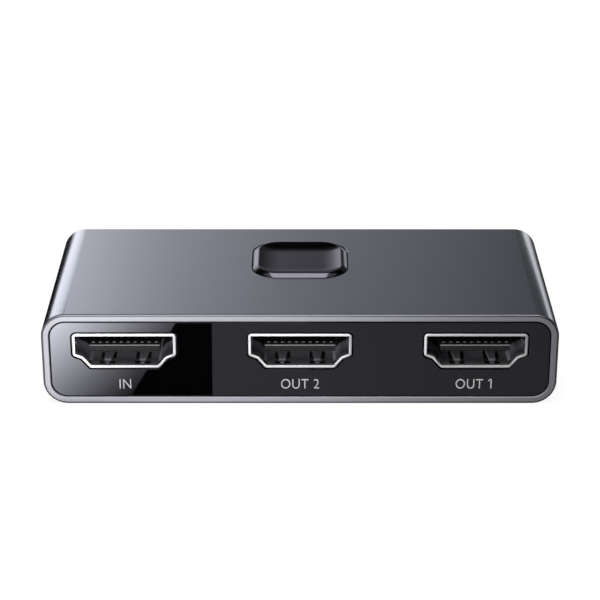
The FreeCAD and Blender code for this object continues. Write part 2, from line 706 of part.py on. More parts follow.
def button_cap():
    """Cap with a bevel all round and a dished top, on a flange and a stem that push the switch."""
    outline = button_outline()
    rim_z = CASE_HEIGHT + BUTTON_RISE
    rim = grown(outline, -BUTTON_BEVEL_WIDTH)
    body = slab(outline, FLANGE_TOP_Z, CASE_HEIGHT)
    bevel_base = rounded_wire(outline, in_plan(CASE_HEIGHT))
    bevel_top = rounded_wire(rim, in_plan(rim_z))
    bevel = Part.makeLoft([bevel_base, bevel_top], True, True)
    flange = slab(flange_outline(), FLANGE_BOTTOM_Z, FLANGE_TOP_Z)
    stem = upright_cylinder(BUTTON_STEM_DIAMETER, 0, BUTTON_Y, STEM_BOTTOM_Z, FLANGE_BOTTOM_Z)
    cap = joined([body, bevel, flange, stem])
    rings = [rounded_wire(grown(rim, -inset), in_plan(rim_z - drop)) for inset, drop in dish_steps()]
    return cap.cut(Part.makeLoft(rings, True, True))


def button_guide():
    """Ring round the flange, bonded under the sleeve's top, with a ledge at each side below the flange."""
    pocket = grown(flange_outline(), GUIDE_CLEARANCE)
    outside = grown(pocket, GUIDE_WALL)
    ring = slab(outside, LEDGE_TOP_Z, CEILING_Z)
    ring = ring.cut(slab(pocket, LEDGE_TOP_Z, CEILING_Z))
    plate = slab(outside, LEDGE_TOP_Z - GUIDE_LEDGE_THICKNESS, LEDGE_TOP_Z)
    half_channel = BUTTON_WIDTH / 2 + BUTTON_FLANGE_LIP - GUIDE_LEDGE_REACH
    deep = BUTTON_DEPTH
    low = (-half_channel, BUTTON_Y - deep, LEDGE_TOP_Z - GUIDE_LEDGE_THICKNESS)
    channel = block(low, (half_channel, BUTTON_Y + deep, LEDGE_TOP_Z))
    return joined([ring, plate.cut(channel)])


# Tactile switch

def switch_base():
    """Square moulded base with a round well for the dome and plunger."""
    square = rectangle(SWITCH_SIZE, SWITCH_SIZE, 0.0, 0, BUTTON_Y)
    base = slab(square, BOARD_TOP_Z, SWITCH_BASE_TOP_Z)
    well = upright_cylinder(SWITCH_WELL_DIAMETER, 0, BUTTON_Y, SWITCH_WELL_FLOOR_Z, SWITCH_BASE_TOP_Z)
    return base.cut(well)


def switch_cover():
    """Pressed plate over the well, with the hole for the plunger."""
    square = rectangle(SWITCH_SIZE, SWITCH_SIZE, 0.0, 0, BUTTON_Y)
    top_z = SWITCH_BASE_TOP_Z + SWITCH_COVER_THICKNESS
    plate = slab(square, SWITCH_BASE_TOP_Z, top_z)
    hole = PLUNGER_DIAMETER + 2 * PLUNGER_CLEARANCE
    return plate.cut(upright_cylinder(hole, 0, BUTTON_Y, SWITCH_BASE_TOP_Z, top_z))


def switch_plunger():
    """Post on a thick flange, which the cover keeps in the well and which bears on the dome."""
    flange_top_z = SWITCH_BASE_TOP_Z - PLUNGER_PLAY
    flange_bottom_z = SWITCH_WELL_FLOOR_Z + DOME_HEIGHT + PLUNGER_PLAY
    post = upright_cylinder(PLUNGER_DIAMETER, 0, BUTTON_Y, flange_top_z, PLUNGER_TOP_Z)
    flange = upright_cylinder(PLUNGER_FLANGE_DIAMETER, 0, BUTTON_Y, flange_bottom_z, flange_top_z)
    return joined([post, flange])


def switch_dome():
    """Snap dome: sheet pressed to a shallow cone with a level top, standing on the well's floor."""
    foot = Vector(0, BUTTON_Y, SWITCH_WELL_FLOOR_Z)
    outside = Part.makeCone(DOME_DIAMETER / 2, DOME_TOP_DIAMETER / 2, DOME_HEIGHT, foot)
    return outside.cut(outside.translated(Vector(0, 0, -DOME_SHEET)))


def gull_wing(width, sheet, height, reach, shoulder):
    """Lead that leaves a body's side at x = 0, drops to the board at z = 0 and ends in a foot."""
    half = width / 2
    top = block((0, -half, height - sheet), (shoulder, half, height))
    drop = block((shoulder - sheet, -half, 0), (shoulder, half, height))
    foot = block((shoulder - sheet, -half, 0), (reach, half, sheet))
    return joined([top, drop, foot])


def both_sides(lead, body_half_width, centre_x, rows_y):
    """The lead repeated along both sides of a body that stands on the board."""
    placed = []
    for y in rows_y:
        right = lead.translated(Vector(body_half_width, 0, 0))
        left = right.mirror(Vector(0, 0, 0), Vector(1, 0, 0))
        for side in (right, left):
            placed.append(side.translated(Vector(centre_x, y, BOARD_TOP_Z)))
    return placed


def switch_terminals():
    """Four terminals of the switch."""
    lead = gull_wing(TERMINAL_WIDTH, TERMINAL_SHEET, TERMINAL_HEIGHT, TERMINAL_REACH, TERMINAL_SHOULDER)
    rows = [BUTTON_Y - TERMINAL_SPACING / 2, BUTTON_Y + TERMINAL_SPACING / 2]
    return group(both_sides(lead, SWITCH_SIZE / 2, 0, rows))


# Parts soldered to the board

def chip_body(width, length, height, x, y, low_z):
    """Moulded chip with one chamfered corner that marks its first lead."""
    corners = rectangle(width, length, 0.0, x, y)
    first = corners[0]
    cut_corner = [(first[0], first[1] + CHIP_CORNER_CHAMFER, 0.0), (first[0] + CHIP_CORNER_CHAMFER, first[1], 0.0)]
    return slab(cut_corner + corners[1:], low_z, low_z + height)


def signal_switch_chip():
    """Flat leadless chip that routes the signals, left of the button."""
    size = SWITCH_CHIP_SIZE
    return chip_body(size, size, SWITCH_CHIP_HEIGHT, -CHIP_OFFSET, BUTTON_Y, BOARD_TOP_Z)


def toggle_chip():
    """Small logic chip that turns each press into a change of port, right of the button."""
    low_z = BOARD_TOP_Z + TOGGLE_CHIP_STANDOFF
    width = TOGGLE_CHIP_WIDTH
    return chip_body(width, TOGGLE_CHIP_LENGTH, TOGGLE_CHIP_HEIGHT, CHIP_OFFSET, BUTTON_Y, low_z)


def toggle_chip_leads():
    """Leads of the toggle chip."""
    height = TOGGLE_CHIP_STANDOFF + TOGGLE_CHIP_HEIGHT / 2
    lead = gull_wing(TOGGLE_LEAD_WIDTH, TOGGLE_LEAD_SHEET, height, TOGGLE_LEAD_REACH, TOGGLE_LEAD_SHOULDER)
    middle = (TOGGLE_LEADS_PER_SIDE - 1) / 2
    rows = [BUTTON_Y + (index - middle) * TOGGLE_LEAD_PITCH for index in range(TOGGLE_LEADS_PER_SIDE)]
    return group(both_sides(lead, TOGGLE_CHIP_WIDTH / 2, CHIP_OFFSET, rows))


def centred_block(length, width, height, x, low_y):
    """Block on the board, centred on x, with its front at low_y."""
    low = (x - length / 2, low_y, BOARD_TOP_Z)
    return block(low, (x + length / 2, low_y + width, BOARD_TOP_Z + height))


def protection_arrays():
    """Two surge protection arrays behind each port."""
    low_y = PORT_BACK_Y + ARRAY_GAP_BEHIND_PORT
    blocks = []
    for x in port_centres():
        for side in (-1, 1):
            centre = x + side * ARRAY_SPACING / 2
            blocks.append(centred_block(ARRAY_LENGTH, ARRAY_WIDTH, ARRAY_HEIGHT, centre, low_y))
    return group(blocks)


def supply_diodes():
    """One diode in line with each port at the board's rear edge, so that any port can feed the chips."""
    low_y = BOARD_REAR_Y - DIODE_REAR_GAP - DIODE_WIDTH
    return group([centred_block(DIODE_LENGTH, DIODE_WIDTH, DIODE_HEIGHT, x, low_y) for x in port_centres()])


def part_row(side, height):
    """Row of small two-ended parts behind the chip on one side of the board."""
    chip_half = max(SWITCH_CHIP_SIZE, TOGGLE_CHIP_LENGTH) / 2
    low_y = BUTTON_Y + chip_half + CHIP_PART_GAP
    middle = (PARTS_IN_ROW - 1) / 2
    blocks = []
    for index in range(PARTS_IN_ROW):
        x = side * CHIP_OFFSET + (index - middle) * CHIP_PART_PITCH
        blocks.append(centred_block(CHIP_PART_WIDTH, CHIP_PART_LENGTH, height, x, low_y))
    return group(blocks)


def build_nodes():
    """Every sub-part by its name, in assembly order."""
    nodes = {
        "sleeve": sleeve(),
        "front_fascia": front_fascia(),
        "front_fascia_tape": fascia_tape(),
        "front_frame": carrier_frame(),
        "rear_fascia": rear_fascia(),
        "rear_fascia_tape": mirrored_in_depth(fascia_tape()),
        "rear_frame": mirrored_in_depth(carrier_frame()),
        "chassis_tray": chassis_tray(),
        "circuit_board": circuit_board(),
        "board_screws": board_screws(),
        "button_cap": button_cap(),
        "button_guide": button_guide(),
        "switch_base": switch_base(),
        "switch_cover": switch_cover(),
        "switch_plunger": switch_plunger(),
        "switch_dome": switch_dome(),
        "switch_terminals": switch_terminals(),
        "signal_switch_chip": signal_switch_chip(),
        "toggle_chip": toggle_chip(),
        "toggle_chip_leads": toggle_chip_leads(),
        "protection_arrays": protection_arrays(),
        "supply_diodes": supply_diodes(),
        "capacitors": part_row(-1, CAPACITOR_HEIGHT),
        "resistors": part_row(1, RESISTOR_HEIGHT),
    }
    shell = port_shell()
    contacts = port_contacts()
    insulator = port_insulator(contacts)
    port_names = ["input", "output_2", "output_1"]
    for name, x in zip(port_names, port_centres()):
        place = Vector(x, 0, 0)
        nodes[name + "_port_shell"] = shell.translated(place)
        nodes[name + "_port_insulator"] = insulator.translated(place)
        nodes[name + "_port_contacts"] = contacts.translated(place)
    return nodes


def main():
    """Writes one STEP file for each sub-part."""
    os.makedirs("parts", exist_ok=True)
    for name, shape in build_nodes().items():
        shape.exportStep(os.path.join("parts", name + ".step"))
        box = shape.BoundBox
        print(f"{name}: {len(shape.Solids)} solids, valid {shape.isValid()}, volume {shape.Volume:.3f},",
              f"x {box.XMin:.2f} to {box.XMax:.2f}, y {box.YMin:.2f} to {box.YMax:.2f},",
              f"z {box.ZMin:.2f} to {box.ZMax:.2f}")


main()
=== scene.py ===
"""Looks of a slim HDMI switch: metal sleeve, gloss fascias, three bright sockets and a dished button."""

import json
import logging
import math
from dataclasses import dataclass, field
from enum import Enum
from typing import Collection, Iterable, Sequence

import bmesh
import bpy
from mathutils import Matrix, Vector
from mathutils.geometry import tessellate_polygon

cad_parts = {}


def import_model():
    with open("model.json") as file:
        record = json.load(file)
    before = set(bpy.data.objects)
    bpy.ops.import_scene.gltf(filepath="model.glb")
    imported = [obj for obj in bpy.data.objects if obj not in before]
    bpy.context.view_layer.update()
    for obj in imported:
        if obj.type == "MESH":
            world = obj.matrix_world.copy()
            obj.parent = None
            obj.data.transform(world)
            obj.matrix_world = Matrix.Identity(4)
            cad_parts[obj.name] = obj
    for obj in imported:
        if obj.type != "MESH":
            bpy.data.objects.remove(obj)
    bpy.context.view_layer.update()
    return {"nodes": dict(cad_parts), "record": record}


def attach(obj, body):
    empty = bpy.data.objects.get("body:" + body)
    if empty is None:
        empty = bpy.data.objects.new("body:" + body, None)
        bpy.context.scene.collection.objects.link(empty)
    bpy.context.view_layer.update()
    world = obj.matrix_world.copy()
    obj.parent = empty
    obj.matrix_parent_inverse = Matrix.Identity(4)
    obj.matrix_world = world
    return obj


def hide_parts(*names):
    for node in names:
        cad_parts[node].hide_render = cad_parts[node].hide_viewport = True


MM = 0.001
MERGE = 1e-7
CASE_BODY = "case"
BUTTON_BODY = "button"
FLAT_ANGLE = math.radians(1.0)
EDGE_ANGLE = math.radians(30.0)
UP = Vector((0.0, 0.0, 1.0))

Triple = tuple[float, float, float]
log = logging.getLogger("hdmi_switch")


class Facing(Enum):
    """Which way an outline's height grows."""

    FRONT = "front"
    BACK = "back"
    TOP = "top"

    def place(self, u: float, v: float, height: float) -> Vector:
        """Gives a point of the part's own frame.

        Args:
            u: Distance along the outline's first axis, in millimetres.
            v: Distance along its second axis.
            height: Distance towards the side that the outline faces.

        Returns:
            The point in metres.
        """
        if self is Facing.FRONT:
            return Vector((u, -height, v)) * MM
        if self is Facing.BACK:
            return Vector((-u, height, v)) * MM
        return Vector((u, v, height)) * MM

    def direction(self, u: float, v: float, height: float) -> Vector:
        """Turns a direction into the part's own frame, with a length of one."""
        return self.place(u, v, height).normalized()


class Axis(Enum):
    """Coordinate of the part's own frame."""

    X = "X"
    Y = "Y"
    Z = "Z"


class Outline:
    """Closed anticlockwise line with the outward direction at each of its points."""

    def __init__(self, corners: Sequence[Triple], steps: int) -> None:
        """Rounds each corner by an arc.

        Args:
            corners: The corners as (u, v, radius) in millimetres, anticlockwise.
            steps: Straight pieces in each arc.
        """
        self.points: list[tuple[float, float]] = []
        self.outward: list[tuple[float, float]] = []
        for index, (u, v, radius) in enumerate(corners):
            here = Vector((u, v))
            back = (Vector(corners[index - 1][:2]) - here).normalized()
            ahead = (Vector(corners[(index + 1) % len(corners)][:2]) - here).normalized()
            centre = here + (back + ahead).normalized() * (radius / math.sin(back.angle(ahead) / 2))
            bulge = 1 if (-back).cross(ahead) > 0 else -1
            first = Vector((-back.y, back.x)) * bulge
            last = Vector((ahead.y, -ahead.x)) * bulge
            turn = math.atan2(first.cross(last), first.dot(last))
            for step in range(steps + 1):
                cosine, sine = math.cos(turn * step / steps), math.sin(turn * step / steps)
                spoke = Vector((first.x * cosine - first.y * sine, first.x * sine + first.y * cosine))
                self.points.append(tuple(centre + spoke * radius))
                self.outward.append(tuple(spoke * bulge))

    def ring(self, facing: Facing, offset: float, height: float) -> list[Vector]:
        """Places the line.

        Args:
            facing: Which way its height grows.
            offset: Distance by which it is moved outwards, in millimetres.
            height: Height at which it lies.

        Returns:
            Its points in metres.
        """
        pairs = zip(self.points, self.outward)
        return [facing.place(u + nu * offset, v + nv * offset, height) for (u, v), (nu, nv) in pairs]


def rectangle(
    width: float,
    height: float,
    radius: float,
    centre: tuple[float, float],
    steps: int,
) -> Outline:
    """Makes a rounded rectangle.

    Args:
        width: Size along u, in millimetres.
        height: Size along v.
        radius: Radius of its corners.
        centre: Its middle as (u, v).
        steps: Straight pieces in each corner.

    Returns:
        The outline.
    """
    cu, cv = centre
    signs = ((-1, -1), (1, -1), (1, 1), (-1, 1))
    return Outline([(cu + su * width / 2, cv + sv * height / 2, radius) for su, sv in signs], steps)


@dataclass(frozen=True)
class Station:
    """One line of a swept surface, whether it is a crease, and the finish of the band after it."""

    offset: float
    height: float
    crease: bool = True
    finish: int = 0


def linked(name: str, data: bpy.types.ID) -> bpy.types.Object:
    """Makes an object in the scene.

    Args:
        name: Its name.
        data: Its mesh, curve, lamp or camera.

    Returns:
        The object, at the origin.
    """
    made = bpy.data.objects.new(name, data)
    bpy.context.scene.collection.objects.link(made)
    return made


class Skin:
    """Faces gathered with exact corner normals, which become one closed mesh."""

    def __init__(self) -> None:
        """Starts with no faces."""
        self.points: list[Vector] = []
        self.places: dict[tuple[int, ...], int] = {}
        self.faces: list[list[int]] = []
        self.normals: list[Vector] = []
        self.finishes: list[int] = []

    def corner(self, point: Vector) -> int:
        """Finds the vertex at a point, and adds it where there is none.

        Args:
            point: The point, in metres.

        Returns:
            The vertex's index.
        """
        key = tuple(round(value / MERGE) for value in point)
        if key not in self.places:
            self.places[key] = len(self.points)
            self.points.append(point)
        return self.places[key]

    def face(self, points: Sequence[Vector], normals: Sequence[Vector], finish: int = 0) -> None:
        """Adds one face.

        Args:
            points: Its corners, anticlockwise seen from outside.
            normals: The surface's direction at each corner.
            finish: Index of its material.
        """
        indices = [self.corner(point) for point in points]
        kept = [pair for k, pair in enumerate(zip(indices, normals)) if pair[0] != indices[k - 1]]
        if len({index for index, _ in kept}) < 3:
            return
        self.faces.append([index for index, _ in kept])
        self.normals.extend(normal for _, normal in kept)
        self.finishes.append(finish)

    def sweep(
        self,
        outline: Outline,
        facing: Facing,
        stations: Sequence[Station],
        closed: bool = False,
        left_open: Collection[tuple[int, int]] = (),
    ) -> None:
        """Adds the surface that joins an outline's rings from station to station.

        Args:
            outline: The line that is swept.
            facing: Which way its height grows.
            stations: The rings, in order, with the solid on the left of the way they go.
            closed: Whether the last station joins the first.
            left_open: The (band, segment) pairs that get no face.
        """
        count, total = len(stations), len(outline.points)
        bands = count if closed else count - 1
        slopes = []
        for start, end in zip(stations[:bands], (*stations[1:], stations[0])):
            slopes.append(Vector((end.height - start.height, start.offset - end.offset)).normalized())
        rings = [outline.ring(facing, station.offset, station.height) for station in stations]
        for band, slope in enumerate(slopes):
            far = (band + 1) % count
            before = slopes[band - 1] if band > 0 or closed else slope
            after = slopes[(band + 1) % bands] if band + 1 < bands or closed else slope
            near_slope = slope if stations[band].crease else (slope + before).normalized()
            far_slope = slope if stations[far].crease else (slope + after).normalized()
            for segment in range(total):
                if (band, segment) in left_open:
                    continue
                following = (segment + 1) % total
                corners = []
                normals = []
                for ring, index, lean in ((band, segment, near_slope), (band, following, near_slope),
                                          (far, following, far_slope), (far, segment, far_slope)):
                    nu, nv = outline.outward[index]
                    corners.append(rings[ring][index])
                    normals.append(facing.direction(nu * lean.x, nv * lean.x, lean.y))
                self.face(corners, normals, stations[band].finish)

    def plate(self, rim: Sequence[Vector], holes: Sequence[Sequence[Vector]], normal: Vector) -> None:
        """Adds a level area with holes.

        Args:
            rim: Its outer line.
            holes: Lines round its holes.
            normal: Its direction.
        """
        loops = [list(rim), *(list(hole) for hole in holes)]
        flat = [point for loop in loops for point in loop]
        for triangle in tessellate_polygon(loops):
            a, b, c = (flat[index] for index in triangle)
            if (b - a).cross(c - a).dot(normal) < 0:
                b, c = c, b
            self.face([a, b, c], [normal] * 3)

    def solid(self, name: str, finishes: Iterable[bpy.types.Material]) -> bpy.types.Object:
        """Makes the mesh object.

        Args:
            name: The piece's name.
            finishes: Its materials, in the order of the faces' indices.

        Returns:
            The object, at the origin.
        """
        mesh = bpy.data.meshes.new(name)
        mesh.from_pydata(self.points, [], self.faces)
        mesh.polygons.foreach_set("material_index", self.finishes)
        mesh.shade_smooth()
        mesh.normals_split_custom_set(self.normals)
        for finish in finishes:
            mesh.materials.append(finish)
        return linked(name, mesh)


class Wire:
    """Output socket whose Python operators add Math nodes."""

    def __init__(self, graph: "Graph", socket: bpy.types.NodeSocket) -> None:
        """Keeps the socket and the tree it belongs to."""
        self.graph = graph
        self.socket = socket

    def maths(self, operation: str, other: "Wire | float", swapped: bool = False) -> "Wire":
        """Adds a Math node on this value and another, or on the other and this one."""
        first, second = (other, self) if swapped else (self, other)
        return self.graph.add("ShaderNodeMath", {"operation": operation}, {0: first, 1: second})

    def __add__(self, other: "Wire | float") -> "Wire":
        """Sum."""
        return self.maths("ADD", other)

    def __sub__(self, other: "Wire | float") -> "Wire":
        """Difference."""
        return self.maths("SUBTRACT", other)

    def __rsub__(self, other: float) -> "Wire":
        """Difference from a number on the left."""
        return self.maths("SUBTRACT", other, True)

    def __mul__(self, other: "Wire | float") -> "Wire":
        """Product."""
        return self.maths("MULTIPLY", other)

    __radd__ = __add__
    __rmul__ = __mul__

    def __truediv__(self, other: "Wire | float") -> "Wire":
        """Quotient."""
        return self.maths("DIVIDE", other)

    def above(self, limit: float, width: float) -> "Wire":
        """Rises smoothly from 0 to 1 across a limit.

        Args:
            limit: The value at the middle of the rise.
            width: The span of the rise, in the value's own unit.

        Returns:
            The rise.
        """
        settings = {"interpolation_type": "SMOOTHSTEP"}
        sockets = {0: self, 1: limit - width / 2, 2: limit + width / 2}
        return self.graph.add("ShaderNodeMapRange", settings, sockets)

    def centred(self, spread: float) -> "Wire":
        """Turns a value from 0 to 1 into one spread evenly about 0."""
        return (self - 0.5) * spread


class Graph:
    """Node tree written as Python expressions."""

    def __init__(self, tree: bpy.types.NodeTree) -> None:
        """Keeps the tree."""
        self.tree = tree

    def add(
        self,
        kind: str,
        settings: dict[str, object] | None = None,
        sockets: dict[int | str, object] | None = None,
        output: int | str = 0,
    ) -> Wire:
        """Adds a node.

        Args:
            kind: The node's type.
            settings: Its own settings, and a ramp's stops, which are set first.
            sockets: Values or wires for its input sockets, by index or name.
            output: The output that is wanted.

        Returns:
            That output.
        """
        node = self.tree.nodes.new(kind)
        for name, value in (settings or {}).items():
            if name == "stops":
                elements = node.color_ramp.elements
                while len(elements) < len(value):
                    elements.new(1.0)
                for element, (position, level) in zip(elements, value):
                    element.position = position
                    element.color = (level, level, level, 1.0)
            else:
                setattr(node, name, value)
        for key, value in (sockets or {}).items():
            self.feed(node.inputs[key], value)
        return Wire(self, node.outputs[output])

    def feed(self, socket: bpy.types.NodeSocket, value: object) -> None:
        """Links a wire to an input, or sets a value or colour on it.

        Args:
            socket: The input.
            value: A wire, or what the socket is set to.
        """
        if isinstance(value, Wire):
            self.tree.links.new(value.socket, socket)
        elif isinstance(value, tuple) and socket.type == "RGBA":
            socket.default_value = (*value, 1.0)
        else:
            socket.default_value = value


class Shader(Graph):
    """Node tree of one material."""

    def __init__(self, name: str) -> None:
        """Starts an empty material.

        Args:
            name: The material's name.
        """
        self.material = bpy.data.materials.new(name)
        self.material.use_nodes = True
        super().__init__(self.material.node_tree)
        self.tree.nodes.clear()
        self.output = self.tree.nodes.new("ShaderNodeOutputMaterial")

    def place(self) -> Wire:
        """Gives the object's own coordinates, in metres."""
        return self.add("ShaderNodeTexCoord", output="Object")

    def axis(self, which: Axis) -> Wire:
        """Gives one of the object's coordinates, in millimetres."""
        return self.add("ShaderNodeSeparateXYZ", None, {0: self.place()}, which.value) / MM

    def stretched(self, x: float = 1.0, y: float = 1.0) -> Wire:
        """Gives the object's coordinates scaled along an axis, for patterns with a direction."""
        return self.add("ShaderNodeMapping", None, {"Vector": self.place(), "Scale": (x, y, 1.0)})

    def noise(self, cell: float, detail: float = 3.0, place: Wire | None = None) -> Wire:
        """Gives a noise from 0 to 1 whose lumps are about a cell wide, in millimetres."""
        sockets = {"Vector": place or self.place(), "Scale": 1 / (cell * MM), "Detail": detail}
        return self.add("ShaderNodeTexNoise", None, sockets)

    def mix(self, share: Wire | float, first: object, second: object) -> Wire:
        """Mixes two colours, with a share of the second."""
        return self.add("ShaderNodeMix", {"data_type": "RGBA"}, {0: share, 6: first, 7: second}, 2)

    def bump(self, height: Wire, depth: float) -> Wire:
        """Turns a height from 0 to 1 into a normal, for relief of a depth in millimetres."""
        return self.add("ShaderNodeBump", None, {"Height": height, "Distance": depth * MM, "Strength": 1.0})

    def finished(self, surface: Wire) -> bpy.types.Material:
        """Ends the tree with a surface and gives the material."""
        self.feed(self.output.inputs["Surface"], surface)
        return self.material

    def surface(self, sockets: dict[str, object]) -> bpy.types.Material:
        """Ends the tree with the main shader, whose inputs are given by name."""
        return self.finished(self.add("ShaderNodeBsdfPrincipled", None, sockets, "BSDF"))


@dataclass(frozen=True)
class Finish:
    """A surface finish that makes its own material."""

    name: str
    colour: Triple
    roughness: float

    def shade(self, factor: float, lift: float = 0.0) -> Triple:
        """Gives the colour made lighter or darker."""
        return tuple(value * factor + lift for value in self.colour)

    def material(self) -> bpy.types.Material:
        """Builds the finish."""
        raise NotImplementedError


@dataclass(frozen=True)
class AnodisedMetal(Finish):
    """Fine-blasted anodised aluminium."""

    grain: float = 0.06
    depth: float = 0.0012
    cloud: float = 9.0
    grazing: Triple = (1.0, 1.0, 1.0)

    def material(self) -> bpy.types.Material:
        """Builds a metal with a fine even grain and faint clouding."""
        graph = Shader(self.name)
        grain = graph.noise(self.grain)
        cloud = graph.noise(self.cloud, 2.0)
        return graph.surface({
            "Base Color": graph.mix(cloud * 0.6 + grain * 0.4, self.shade(0.93), self.shade(1.05)),
            "Metallic": 1.0,
            "Roughness": self.roughness + grain.centred(0.06) + cloud.centred(0.03),
            "Specular Tint": self.grazing,
            "Normal": graph.bump(grain, self.depth),
        })


@dataclass(frozen=True)
class CutMetal(Finish):
    """Aluminium edge as the cutter left it, with fine lines along the cut; its two darkest copies are
    painted shade.
    """

    line: float = 0.05
    line_stretch: float = 0.02
    depth: float = 0.0006

    def material(self) -> bpy.types.Material:
        """Builds a bright metal with fine lines."""
        graph = Shader(self.name)
        lines = graph.noise(self.line, 2.0, graph.stretched(x=self.line_stretch))
        return graph.surface({
            "Base Color": graph.mix(lines, self.shade(0.9), self.colour),
            "Metallic": 1.0,
            "Roughness": self.roughness + lines.centred(0.08),
            "Normal": graph.bump(lines, self.depth),
        })


@dataclass(frozen=True)
class GlossPlastic(Finish):
    """Polished plastic with barely visible waves and a few hair marks."""

    ior: float = 1.65
    tint: Triple = (0.87, 0.885, 1.0)
    wave: float = 14.0
    mark: float = 0.25
    mark_stretch: float = 0.12
    depth: float = 0.002

    def material(self) -> bpy.types.Material:
        """Builds a clear-surfaced plastic."""
        graph = Shader(self.name)
        marks = graph.noise(self.mark, 4.0, graph.stretched(x=self.mark_stretch))
        return graph.surface({
            "Base Color": graph.mix(marks, self.colour, self.shade(1.4)),
            "Roughness": self.roughness + marks * 0.02,
            "IOR": self.ior,
            "Specular Tint": self.tint,
            "Normal": graph.bump(graph.noise(self.wave, 1.0), self.depth),
        })


@dataclass(frozen=True)
class MouldedPlastic(Finish):
    """Moulded plastic with a spark-eroded texture."""

    grain: float = 0.12
    depth: float = 0.006
    flow: float = 4.0

    def material(self) -> bpy.types.Material:
        """Builds a plastic with a fine pebbled grain."""
        graph = Shader(self.name)
        grain = graph.noise(self.grain)
        flow = graph.noise(self.flow, 2.0)
        return graph.surface({
            "Base Color": graph.mix(grain * 0.5 + flow * 0.3, self.colour, self.shade(1.5, 0.004)),
            "Roughness": self.roughness + grain.centred(0.18) + flow.centred(0.08),
            "Normal": graph.bump(grain, self.depth),
        })


@dataclass(frozen=True)
class TongueMoulding(Finish):
    """Dull black moulding whose tongue has a painted highlight line along its leading edge."""

    grain: float = 0.08
    flow: float = 3.0
    depth: float = 0.002
    gloss: float = 0.12
    # Painted highlight: the colour and band of a pale line along the tongue's top front edge.
    painted_highlight_colour: Triple = (0.15, 0.15, 0.157)
    highlight_low_z: float = 8.77
    highlight_high_z: float = 8.9
    highlight_y: float = -15.2
    fade: float = 0.03

    def material(self) -> bpy.types.Material:
        """Builds a plastic that hardly shines, with the painted highlight line along the tongue's tip."""
        graph = Shader(self.name)
        grain = graph.noise(self.grain)
        flow = graph.noise(self.flow, 2.0)
        height = graph.axis(Axis.Z)
        tip = 1 - graph.axis(Axis.Y).above(self.highlight_y, self.fade)
        # Painted highlight: a pale line along the tongue's top front edge.
        line = (height.above(self.highlight_low_z, self.fade) - height.above(self.highlight_high_z, self.fade)) * tip
        moulding = graph.mix(grain * 0.5 + flow * 0.3, self.colour, self.shade(1.6, 0.001))
        return graph.surface({
            "Base Color": graph.mix(line, moulding, self.painted_highlight_colour),
            "Roughness": self.roughness + grain.centred(0.14),
            "Specular IOR Level": self.gloss,
            "Normal": graph.bump(grain, self.depth),
        })


@dataclass(frozen=True)
class PlatedMetal(Finish):
    """Thin plating on sheet metal, with rolling lines and faint stains."""

    line: float = 0.08
    line_stretch: float = 0.06
    depth: float = 0.0008
    stain: float = 2.2

    def material(self) -> bpy.types.Material:
        """Builds a plated metal."""
        graph = Shader(self.name)
        rolled = graph.noise(self.line, place=graph.stretched(y=self.line_stretch))
        stain = graph.noise(self.stain).above(0.62, 0.2)
        return graph.surface({
            "Base Color": graph.mix(stain * 0.7 + rolled * 0.3, self.colour, self.shade(0.88)),
            "Metallic": 1.0,
            "Roughness": self.roughness + rolled * 0.08 + stain * 0.05,
            "Normal": graph.bump(rolled, self.depth),
        })


@dataclass(frozen=True)
class ContactPlating(Finish):
    """Flashed contact strip, painted dark as shade along its blades, with painted highlights on the upper
    row's tips.
    """

    # Painted highlight: the colour of glints on the upper row's tips.
    painted_glint_colour: Triple = (0.8, 0.79, 0.75)
    tip_y: float = -14.8
    tip_end_y: float = -15.05
    tip_z: float = 8.4
    fade: float = 0.1
    line: float = 0.08
    line_stretch: float = 0.06
    depth: float = 0.0008

    def material(self) -> bpy.types.Material:
        """Builds the dark plating with painted highlights on its tips."""
        graph = Shader(self.name)
        rolled = graph.noise(self.line, place=graph.stretched(y=self.line_stretch))
        inward = graph.axis(Axis.Y)
        bend = inward.above(self.tip_end_y, self.fade) - inward.above(self.tip_y, self.fade)
        # Painted highlight: glints on the upper row's bent tips; the rest keeps the dark painted shade.
        painted_glints = graph.axis(Axis.Z).above(self.tip_z, self.fade) * bend
        return graph.surface({
            "Base Color": graph.mix(painted_glints, graph.mix(rolled, self.colour, self.shade(0.8)), self.painted_glint_colour),
            "Metallic": 1.0,
            "Roughness": self.roughness + rolled * 0.08 + painted_glints * 0.15,
            "Normal": graph.bump(rolled, self.depth),
        })


